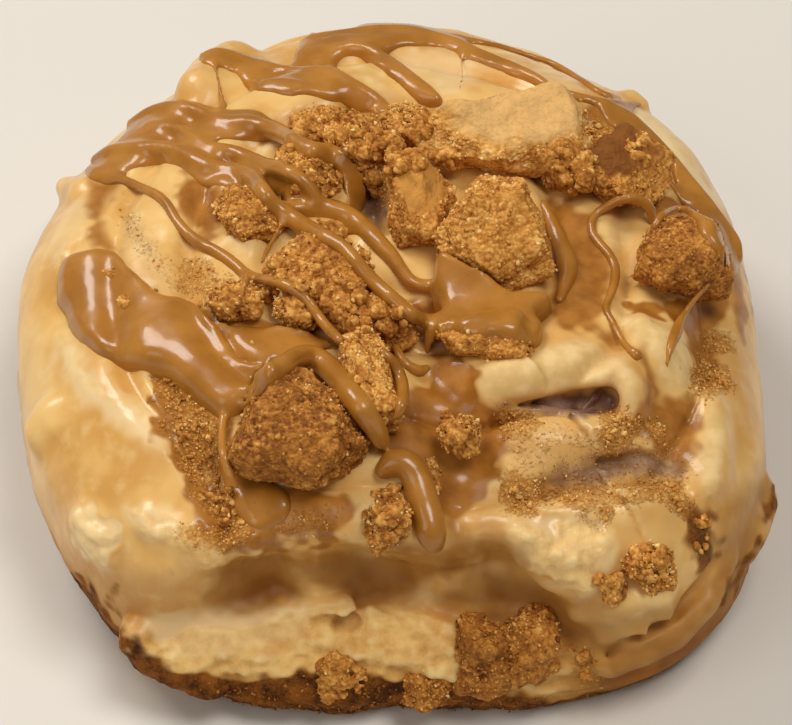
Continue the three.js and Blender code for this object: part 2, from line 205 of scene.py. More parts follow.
def polylineDistance(x, y, points):
    # Distance in plan to a route, and the value carried by the nearest place on it
    best = np.full(np.shape(x), 1e9)
    carried = np.zeros(np.shape(x))
    for (ax, ay, av), (bx, by, bv) in zip(points, points[1:]):
        dx, dy = bx - ax, by - ay
        t = np.clip(((x - ax) * dx + (y - ay) * dy) / (dx * dx + dy * dy), 0, 1)
        away = np.hypot(x - ax - t * dx, y - ay - t * dy)
        closer = away < best
        best = np.where(closer, away, best)
        carried = np.where(closer, av + t * (bv - av), carried)
    return best, carried


def polygonDistance(x, y, corners):
    # Distance to a closed outline in plan, negative inside it
    best = np.full(np.shape(x), 1e9)
    inside = np.zeros(np.shape(x), bool)
    for (ax, ay), (bx, by) in zip(corners, corners[1:] + corners[:1]):
        dx, dy = bx - ax, by - ay
        t = np.clip(((x - ax) * dx + (y - ay) * dy) / (dx * dx + dy * dy), 0, 1)
        best = np.minimum(best, np.hypot(x - ax - t * dx, y - ay - t * dy))
        if ay != by:
            crosses = ((ay > y) != (by > y)) & (x < dx * (y - ay) / dy + ax)
            inside ^= crosses
    return np.where(inside, -best, best)


def rounded(points, steps=6, closed=False):
    # A smooth route through the points
    p = np.array(points, float)
    if closed:
        p = np.vstack([p[-1:], p, p[:2]])
    else:
        p = np.vstack([2 * p[0] - p[1], p, 2 * p[-1] - p[-2]])
    route = []
    for a, b, c, d in zip(p, p[1:], p[2:], p[3:]):
        for t in np.arange(steps) / steps:
            square = (2 * a - 5 * b + 4 * c - d) * t**2
            cube = (3 * b - a - 3 * c + d) * t**3
            route.append(0.5 * (2 * b + (c - a) * t + square + cube))
    if not closed:
        route.append(p[-2])
    return np.array(route)


def meshObject(name, points, faces):
    mesh = bpy.data.meshes.new(name)
    faces = np.asarray(faces)
    mesh.vertices.add(len(points))
    mesh.vertices.foreach_set("co", (np.asarray(points) * millimetre).astype(np.float32).ravel())
    mesh.loops.add(faces.size)
    mesh.loops.foreach_set("vertex_index", faces.astype(np.int32).ravel())
    mesh.polygons.add(len(faces))
    mesh.polygons.foreach_set("loop_start", np.arange(0, faces.size, faces.shape[1], dtype=np.int32))
    mesh.update(calc_edges=True)
    mesh.validate()
    mesh.polygons.foreach_set("use_smooth", np.full(len(mesh.polygons), True))
    piece = bpy.data.objects.new(name, mesh)
    bpy.context.scene.collection.objects.link(piece)
    return piece


def paint(piece, **masks):
    # Keeps a value for each point of the mesh, which the material reads by its name
    for name, values in masks.items():
        layer = piece.data.attributes.new(name, "FLOAT", "POINT")
        layer.data.foreach_set("value", np.asarray(values, np.float32))


def surfaceOfField(field, low, step):
    # The surface where a solid's distance field passes through zero, as points and quads with outward faces
    reach = 3 * step
    grid = openvdb.FloatGrid(reach)
    grid.copyFromArray(np.clip(field, -reach, reach).astype(np.float32))
    grid.gridClass = openvdb.GridClass.LEVEL_SET
    points, quads = grid.convertToQuads(0.0)
    return points.astype(float) * step + np.array(low), quads[:, ::-1].astype(np.int64)


def normalsOf(points, faces):
    # Each point's direction outward, from the faces round it by their size
    a, b, c = (points[faces[:, i]] for i in range(3))
    across = np.cross(b - a, c - a)
    normals = np.zeros_like(points)
    for i in range(faces.shape[1]):
        np.add.at(normals, faces[:, i], across)
    return normals / np.maximum(1e-9, np.linalg.norm(normals, axis=1))[:, None]


def relaxed(points, faces, rounds, share=0.5):
    # Each point moves part of the way to the middle of its neighbours
    edges = np.vstack([faces[:, [i, (i + 1) % faces.shape[1]]] for i in range(faces.shape[1])])
    count = np.bincount(edges.ravel(), minlength=len(points))[:, None]
    for _ in range(rounds):
        total = np.zeros_like(points)
        for i in range(3):
            total[:, i] += np.bincount(edges[:, 0], points[edges[:, 1], i], len(points))
            total[:, i] += np.bincount(edges[:, 1], points[edges[:, 0], i], len(points))
        points = mixed(points, total / count, share)
    return points


# Heights over a square in plan that holds the whole roll, in millimetres
class HeightMap:
    half = 66
    step = 0.7
    unset = -1e3  # the height of a cell that no point fell in

    def __init__(self):
        self.low = -self.half
        self.count = int(2 * self.half / self.step) + 1
        self.heights = np.full((self.count, self.count), self.unset)

    def add(self, points):
        cells = np.round((points[:, :2] - self.low) / self.step).astype(int)
        kept = (cells >= 0).all(axis=1) & (cells < self.count).all(axis=1)
        np.maximum.at(self.heights, tuple(cells[kept].T), points[kept, 2])

    def close(self):
        # Cells that no point fell in take the mean of their neighbours, and the last of them the floor
        for _ in range(3):
            padded = np.pad(self.heights, 1, mode="edge")
            around = np.stack([padded[1 + a:padded.shape[0] - 1 + a, 1 + b:padded.shape[1] - 1 + b]
                               for a in (-1, 0, 1) for b in (-1, 0, 1)])
            real = around > self.unset / 10
            mean = np.where(real, around, 0).sum(axis=0) / np.maximum(1, real.sum(axis=0))
            self.heights = np.where((self.heights < self.unset / 10) & real.any(axis=0), mean, self.heights)
        self.heights = np.maximum(self.heights, 0)

    def blurred(self, rounds):
        other = HeightMap()
        other.heights = self.heights
        for _ in range(rounds):
            padded = np.pad(other.heights, 1, mode="edge")
            sides = (padded[2:, 1:-1], padded[:-2, 1:-1], padded[1:-1, 2:], padded[1:-1, :-2])
            other.heights = sum(sides, 4 * other.heights) / 8
        return other

    def at(self, x, y):
        # The height at each place, smoothly between the cells
        u = np.clip((np.asarray(x, float) - self.low) / self.step, 0, self.count - 1.001)
        v = np.clip((np.asarray(y, float) - self.low) / self.step, 0, self.count - 1.001)
        i, j = u.astype(int), v.astype(int)
        a, b = u - i, v - j
        h = self.heights
        near = h[i, j] * (1 - a) + h[i + 1, j] * a
        far = h[i, j + 1] * (1 - a) + h[i + 1, j + 1] * a
        return near * (1 - b) + far * b


# The photograph's camera, in millimetres. Places that show in the photograph are given below by their pixel.
look = {
    "target": (0.44, -2.8, 17.4),
    "distance": 450,
    "elevation": 47,
    "lens": 139.7,
    "sensor": 36,
    "frame": (792, 725),
}
sightLevels = np.arange(56, 5, -0.15)  # the heights that are tried along a sight line, from the top down
lookDown = look["elevation"] * degree
sightForward = np.array([0, math.cos(lookDown), -math.sin(lookDown)])
sightUp = np.array([0, math.sin(lookDown), math.cos(lookDown)])
cameraPlace = np.array(look["target"]) - sightForward * look["distance"]
pixelsWide = look["lens"] / look["sensor"] * look["frame"][0]
pixelSize = look["distance"] / pixelsWide  # in millimetres on the object


def pixelOf(x, y, z):
    # Where a place shows in the photograph
    dx, dy, dz = x - cameraPlace[0], y - cameraPlace[1], z - cameraPlace[2]
    depth = dy * sightForward[1] + dz * sightForward[2]
    up = dy * sightUp[1] + dz * sightUp[2]
    return look["frame"][0] / 2 + pixelsWide * dx / depth, look["frame"][1] / 2 - pixelsWide * up / depth


def sightThrough(pixels):
    # The direction from the camera through each pixel, one long along the camera's own axis
    u, v = np.array(pixels, float)[:, :2].T
    ways = np.outer((look["frame"][1] / 2 - v) / pixelsWide, sightUp) + sightForward
    ways[:, 0] += (u - look["frame"][0] / 2) / pixelsWide
    return ways


def seenOn(pixels, heightAt):
    # How far along each pixel's sight line the surface lies, or comes nearest to it past the rim
    ways = sightThrough(pixels)
    reach = (sightLevels[None] - cameraPlace[2]) / ways[:, 2:]
    x = cameraPlace[0] + reach * ways[:, :1]
    y = cameraPlace[1] + reach * ways[:, 1:2]
    above = sightLevels[None] - heightAt(x, y)
    under = above <= 0
    found = np.where(under.any(axis=1), under.argmax(axis=1), above.argmin(axis=1))
    return reach[np.arange(len(reach)), found], ways


def placesOn(pixels, heightAt):
    # The places of the surface that show at those pixels
    reach, ways = seenOn(pixels, heightAt)
    return cameraPlace + reach[:, None] * ways


# One output of a shader node, for use in plain sums
class Wire:
    def __init__(self, graph, socket):
        self.graph, self.socket = graph, socket

    def __add__(self, other):
        return self.graph.combined("ADD", self, other)

    def __radd__(self, other):
        return self.graph.combined("ADD", other, self)

    def __sub__(self, other):
        return self.graph.combined("SUBTRACT", self, other)

    def __rsub__(self, other):
        return self.graph.combined("SUBTRACT", other, self)

    def __mul__(self, other):
        return self.graph.combined("MULTIPLY", self, other)

    def __rmul__(self, other):
        return self.graph.combined("MULTIPLY", other, self)


class Graph:
    def __init__(self, name):
        self.material = bpy.data.materials.new(name)
        self.material.use_nodes = True
        self.tree = self.material.node_tree
        self.tree.nodes.clear()

    def node(self, kind, settings=None, inputs=None, output=0):
        made = self.tree.nodes.new(kind)
        for setting, value in (settings or {}).items():
            if setting == "stops":
                self.setStops(made.color_ramp, value)
            else:
                setattr(made, setting, value)
        for name, value in (inputs or {}).items():
            socket = made.inputs[name] if isinstance(name, int) else self.named(made.inputs, name)
            if isinstance(value, Wire):
                self.tree.links.new(value.socket, socket)
            elif socket.type == "RGBA":
                socket.default_value = colour(value)
            else:
                socket.default_value = value
        found = made.outputs[output] if isinstance(output, int) else self.named(made.outputs, output)
        return Wire(self, found)

    def named(self, sockets, name):
        return next(socket for socket in sockets if name in (socket.identifier, socket.name))

    def setStops(self, ramp, stops):
        while len(ramp.elements) < len(stops):
            ramp.elements.new(1)
        for element, (place, shade) in zip(ramp.elements, stops):
            element.position = place
            element.color = colour(shade)

    def combined(self, operation, first, second):
        # Colours go through Mix, vectors through Vector Math and values through Math
        kinds = {part.socket.type for part in (first, second) if isinstance(part, Wire)}
        if "RGBA" in kinds:
            settings = {"data_type": "RGBA", "blend_type": operation}
            inputs = {"Factor_Float": 1, "A_Color": first, "B_Color": second}
            return self.node("ShaderNodeMix", settings, inputs, "Result_Color")
        if "VECTOR" in kinds:
            threes = (part if isinstance(part, (Wire, tuple)) else (part,) * 3 for part in (first, second))
            return self.node("ShaderNodeVectorMath", {"operation": operation}, dict(enumerate(threes)))
        return self.node("ShaderNodeMath", {"operation": operation}, {0: first, 1: second})

    def mix(self, share, low, high):
        inputs = {"Factor_Float": share, "A_Color": low, "B_Color": high}
        return self.node("ShaderNodeMix", {"data_type": "RGBA"}, inputs, "Result_Color")

    def step(self, low, high, value):
        inputs = {"Value": value, "From Min": low, "From Max": high}
        return self.node("ShaderNodeMapRange", {"interpolation_type": "SMOOTHSTEP"}, inputs)

    def attribute(self, name):
        return self.node("ShaderNodeAttribute", {"attribute_name": name}, output="Fac")

    def place(self, stretch=(1, 1, 1), shift=0):
        # Object coordinates in millimetres
        where = self.node("ShaderNodeTexCoord", output="Object")
        return where * tuple(part / millimetre for part in stretch) + (shift, shift, shift)

    def noise(self, size, detail=2, stretch=(1, 1, 1), shift=0):
        inputs = {"Vector": self.place(stretch, shift), "Scale": 1 / size, "Detail": detail}
        return self.node("ShaderNodeTexNoise", None, inputs, "Fac")

    def grains(self, size, shift=0, output="Distance"):
        inputs = {"Vector": self.place(shift=shift), "Scale": 1 / size}
        return self.node("ShaderNodeTexVoronoi", None, inputs, output)

    def bump(self, height, depth, strength=1):
        # The height is a value from 0 to 1 and the depth is in millimetres
        inputs = {"Height": height, "Distance": depth * millimetre, "Strength": strength}
        return self.node("ShaderNodeBump", None, inputs)

    def finish(self, **sockets):
        # The shader's sockets, with spaces in their names written as underscores
        inputs = {name.replace("_", " "): value for name, value in sockets.items()}
        shader = self.node("ShaderNodeBsdfPrincipled", {"subsurface_method": "RANDOM_WALK"}, inputs)
        output = self.tree.nodes.new("ShaderNodeOutputMaterial")
        self.tree.links.new(shader.socket, output.inputs["Surface"])
        return self.material


def colour(value):
    if isinstance(value, (int, float)):
        return (value, value, value, 1)
    return tuple(value) if len(value) == 4 else (*value, 1)


strandMargin = {"piece": 2.2, "block": 2.5}  # how far round a strand its distance is worked out


def gridOf(piece):
    # The low corner, the step and the counts of a piece's grid
    low, step = np.array(piece["low"], float), piece["step"]
    return low, step, np.array([int(size / step) for size in piece["size"]])


def strandField(grid, path):
    # The round strand's distance, worked out only in the block around it
    low, step, shape = grid
    margin = path[:, 3].max() + strandMargin["block"]
    first = np.maximum(0, ((path[:, :3].min(axis=0) - margin - low) / step).astype(int))
    last = np.minimum(shape, ((path[:, :3].max(axis=0) + margin - low) / step).astype(int) + 2)
    block = tuple(slice(a, b) for a, b in zip(first, last))
    nearest = np.full(last - first, farAway, np.float32)
    for a, b in zip(path, path[1:]):
        reach = max(a[3], b[3]) + strandMargin["piece"]
        begin = np.maximum(first, ((np.minimum(a[:3], b[:3]) - reach - low) / step).astype(int))
        end = np.minimum(last, ((np.maximum(a[:3], b[:3]) + reach - low) / step).astype(int) + 2)
        if (end <= begin).any():
            continue
        axes = [low[i] + np.arange(begin[i], end[i]) * step - a[i] for i in range(3)]
        x, y, z = np.meshgrid(*axes, indexing="ij", sparse=True)
        d = b[:3] - a[:3]
        t = np.clip((x * d[0] + y * d[1] + z * d[2]) / max(1e-9, d @ d), 0, 1)
        away = np.sqrt((x - t * d[0]) ** 2 + (y - t * d[1]) ** 2 + (z - t * d[2]) ** 2)
        away = away - mixed(a[3], b[3], t)
        part = tuple(slice(p - q, r - q) for p, q, r in zip(begin, first, end))
        nearest[part] = np.minimum(nearest[part], away)
    return block, nearest


# Dough. Each point of a route is a pixel of the photograph and a half width in millimetres. A cut goes in by
# its depth, or stands up where that is negative. A cave runs inward under the top, or into the wall.
dough = {
    "step": 0.4,
    "low": (-60, -61, -1.5),
    "size": (120, 127, 49),
    "seamDepth": 1.7,
    "seamHalf": 1.7,
    "seamAtRim": 0.4,
    "flatCutDepth": 3,
    "broadWaves": {"size": 9, "salt": 3, "rise": 0.5},
    "fineWaves": {"size": 4, "salt": 5, "octaves": 4, "rise": 0.8},
    "tornRipple": {"rise": 1.1, "alongX": 0.31, "alongZ": 0.25, "from": (14, 19)},
    "rimBlend": 2,
    "footBlend": 1,
    "lumpBlend": 2.6,
    "caveBlend": 0.8,
    "floorGap": (0.3, 0.2),
    "cuts": (
        {"depth": 3.6, "route": ((492, 407, 0.5), (520, 405, 0.8), (550, 403, 1.4), (580, 402, 2),
            (608, 402, 2.2))},
        {"depth": 2.6, "route": ((545, 480, 0.8), (570, 471, 1.3), (600, 465, 1.7), (635, 461, 2.2),
            (675, 468, 2))},
        {"depth": 2, "route": ((158, 372, 1.4), (180, 402, 2.2), (194, 440, 2.4), (204, 476, 2.2),
            (226, 524, 1.6))},
        {"depth": 4.5, "route": ((372, 178, 1.6), (368, 200, 2.4), (378, 222, 2))},
        {"depth": 4, "route": ((408, 306, 1.6), (428, 306, 2.2))},
        {"depth": 2.6, "route": ((432, 372, 3), (455, 400, 4.6), (470, 436, 5), (466, 474, 4.6),
            (458, 508, 3))},
        {"depth": 2, "route": ((716, 292, 2), (708, 330, 2.6), (704, 362, 3), (662, 398, 2.6),
            (630, 430, 2))},
        {"depth": 1.5, "route": ((350, 98, 1.2), (366, 112, 1.6), (378, 124, 1.4))},
        {"depth": -0.9, "route": ((62, 340, 2.2), (78, 370, 2.8), (104, 396, 3.4), (134, 416, 3.6),
            (166, 434, 3))},
        {"depth": -1.7, "route": ((486, 384, 2.4), (525, 376, 3.2), (570, 368, 3.8), (602, 366, 3.8),
            (628, 388, 3))},
        {"depth": -1.5, "route": ((500, 436, 2), (540, 438, 2.8), (580, 440, 3), (618, 438, 2.4))},
        {"depth": -1.5, "route": ((545, 504, 2), (580, 503, 3), (620, 503, 3.2), (660, 506, 2.4))},
        {"depth": -1.2, "route": ((620, 318, 2), (648, 336, 3), (672, 360, 3.2), (684, 384, 2.4))},
        {"depth": 0.8, "route": ((110, 180, 2), (100, 210, 2.4), (104, 240, 2.6))},
        {"depth": 1, "route": ((560, 200, 2), (585, 240, 2.6), (596, 290, 2.6))},
    ),
    "caves": (
        {"inward": (0.6, 2.2, 4), "route": ((506, 405, 0.35), (540, 402, 0.8), (575, 400, 1.5),
            (606, 399, 1.8))},
        {"inward": (0.6, 2), "route": ((600, 463, 0.7), (640, 459, 1.2), (668, 464, 1))},
        {"inward": (0.1,), "wall": True, "route": ((606, 656, 0.3), (624, 644, 0.8), (648, 630, 1),
            (674, 612, 1.1), (700, 586, 0.9), (718, 556, 0.4))},
    ),
    "lumps": (
        {"proud": 2, "route": ((203, 92, 4), (215, 78, 4), (234, 68, 4))},
        {"proud": 1.6, "route": ((140, 640, 2.6), (158, 655, 3), (180, 668, 3), (208, 680, 2.6))},
        {"proud": 1.3, "route": ((46, 432, 3), (54, 420, 3))},
        {"proud": 1.1, "route": ((66, 186, 1.4), (82, 190, 1.8))},
        {"proud": 1, "route": ((706, 402, 1.6), (713, 440, 1.9), (713, 478, 1.7), (708, 488, 1.4))},
        {"proud": 1.7, "route": ((662, 594, 1.6), (663, 610, 1.5))},
        {"proud": 0.7, "route": ((612, 664, 1.6), (640, 650, 2.4), (672, 632, 2.6), (704, 600, 2.2),
            (730, 560, 1.2))},
        {"proud": 1.1, "route": ((604, 634, 1.2), (622, 628, 2), (640, 630, 1.5))},
        {"proud": 0.7, "route": ((578, 612, 1.4), (606, 606, 2.2), (634, 600, 1.4))},
        {"proud": 0.8, "route": ((524, 560, 1), (548, 580, 1.4), (576, 592, 1.5), (600, 580, 1.3),
            (606, 552, 1))},
        {"proud": 0.9, "route": ((132, 638, 1.2), (158, 633, 1.8), (200, 629, 2), (250, 623, 1.8),
            (300, 612, 1.6), (345, 606, 1.4))},
        {"proud": 0.9, "route": ((152, 657, 1.6), (200, 651, 2), (260, 647, 2), (320, 640, 1.8),
            (376, 640, 1.4))},
        {"proud": 0.9, "route": ((372, 618, 1.6), (412, 622, 2), (450, 634, 1.6))},
        {"proud": 0.9, "route": ((766, 486, 1.2), (764, 504, 1.8), (757, 528, 1.9), (748, 552, 1.4))},
        {"proud": 0.9, "route": ((632, 100, 1.4), (641, 104, 0.8))},
        {"proud": 0.8, "route": ((634, 394, 1.8), (634, 412, 1.3))},
        {"proud": 1.1, "route": ((88, 520, 2), (104, 540, 2.4), (104, 552, 1.6))},
        {"proud": 1.2, "route": ((150, 522, 1.4), (182, 538, 1.6), (212, 556, 1.8), (222, 558, 1.2))},
        {"proud": 1.3, "route": ((252, 540, 1.2), (255, 545, 1.3))},
        {"proud": 1.2, "route": ((514, 530, 1.4), (540, 548, 2.4), (575, 560, 3.2), (600, 548, 2.2))},
        {"proud": 0.9, "route": ((236, 244, 1.6), (252, 250, 1.5))},
        {"proud": 0.8, "route": ((224, 192, 1.8), (236, 200, 1.4))},
    ),
}


def domeHeight(x, y):
    # The plain top, without seams and cuts, and the floor outside it
    return np.where(np.hypot(x, y) < outlineRadius(np.arctan2(y, x)), surfaceHeight(x, y), 0)


def doughTop(x, y):
    seam, turn = windingAt(x, y)
    angle = np.arctan2(y, x)
    lift = (winding["terraceTurn"] - turn) * winding["terraceStep"]
    lift = lift * smoothStep(*winding["terraceFrom"], turn)
    top = surfaceHeight(x, y) + lift * bump(angle, winding["terraceHeading"], winding["terraceReach"])
    rim = smoothStep(*winding["rimShares"], np.hypot(x, y) / outlineRadius(angle))
    outermost = np.maximum(smoothStep(*winding["outerTurns"], turn), winding["rimWeight"] * rim)
    shallower = 1 - (1 - dough["seamAtRim"]) * outermost
    top = top - dough["seamDepth"] * shallower * np.exp(-((seam / dough["seamHalf"]) ** 2))
    for cut in dough["cuts"]:
        places = placesOn(cut["route"], domeHeight)
        route = [(px, py, half) for (px, py, pz), (u, v, half) in zip(places, cut["route"])]
        away, half = polylineDistance(x, y, route)
        steepness = 2 if cut["depth"] < dough["flatCutDepth"] else 4  # a deep cut has a flat bed
        top = top - cut["depth"] * np.exp(-((away / (half + 1e-6)) ** steepness))
    return top


def sunkRoute(route, inward, heightAt):
    # The route through the places that its pixels show, moved inward along their sight lines
    reach, ways = seenOn(route, heightAt)
    places = cameraPlace + (reach + inward)[:, None] * ways
    return np.column_stack([places, [width for u, v, width in route]])


def doughField():
    grid = low, step, shape = gridOf(dough)
    xs, ys, zs = (low[i] + np.arange(shape[i]) * step for i in range(3))
    x, y = np.meshgrid(xs, ys, indexing="ij")
    angle = np.arctan2(y, x)
    radius = np.hypot(x, y)
    outline = outlineRadius(angle)
    flat = np.stack([x.ravel(), y.ravel(), np.zeros(x.size)], axis=1)
    broadWaves, fineWaves, ripple = dough["broadWaves"], dough["fineWaves"], dough["tornRipple"]
    broad = broadWaves["rise"] * noiseSum(flat, broadWaves["size"], broadWaves["salt"]).reshape(x.shape)
    fine = noiseSum(flat, fineWaves["size"], fineWaves["salt"], fineWaves["octaves"]).reshape(x.shape)
    top = doughTop(x, y) + broad
    slopeX, slopeY = np.gradient(top, step)
    steepness = np.sqrt(1 + np.minimum(30, slopeX**2 + slopeY**2))
    torn = tornShare(angle)
    inset = roll["footInset"][2] * bump(angle, *roll["footInset"][:2])
    field = np.empty(shape, np.float32)
    for level, z in enumerate(zs):
        whole = np.interp(z, wholeWall["z"], wholeWall["share"])
        share = mixed(whole, np.interp(z + 1.2 * fine, tornWall["z"], tornWall["share"]), torn)
        wall = outline * share - inset * max(0, 1 - z / roll["shoulderHeight"])
        ripples = ripple["rise"] * np.sin(ripple["alongX"] * x + ripple["alongZ"] * z)
        ripples = ripples * smoothStep(*ripple["from"], z)
        wall = wall + broad + torn * (fineWaves["rise"] * fine + ripples)
        side = radius - wall
        upper = (z - top) / steepness
        outer = smoothMax(side, upper, dough["rimBlend"])
        field[:, :, level] = smoothMax(outer, dough["floorGap"][0] - z, dough["footBlend"])
    highest = shape[2] - 1 - (field[:, :, ::-1] < 0).argmax(axis=2)
    within = (field < 0).any(axis=2)
    plain = HeightMap()
    plain.add(np.column_stack([x[within], y[within], zs[highest[within]]]))
    plain.close()
    for lump in dough["lumps"]:
        widths = np.array([width for u, v, width in lump["route"]])
        path = sunkRoute(lump["route"], widths - lump["proud"], plain.at)
        block, nearest = strandField(grid, path)
        field[block] = smoothMin(field[block], nearest, dough["lumpBlend"])
    for cave in dough["caves"]:
        for inward in cave["inward"]:
            heightAt = plain.at if cave.get("wall") else domeHeight
            block, nearest = strandField(grid, sunkRoute(cave["route"], inward, heightAt))
            field[block] = smoothMax(field[block], -nearest, dough["caveBlend"])
    return np.maximum(field, dough["floorGap"][1] - zs.astype(np.float32))


def patch(amount, soft, *outline, fray=1.3):
    # An outline in the photograph's pixels, how strongly it is filled, from 0 to 1, and in millimetres how
    # soft its edge is and how far the edge frays
    return {"amount": amount, "soft": soft, "fray": fray, "outline": outline}


patchMargin = 20  # pixels round an outline that its edge can still reach
patchFacing = (-0.05, 0.2)  # a patch fades out on faces that turn away from the camera

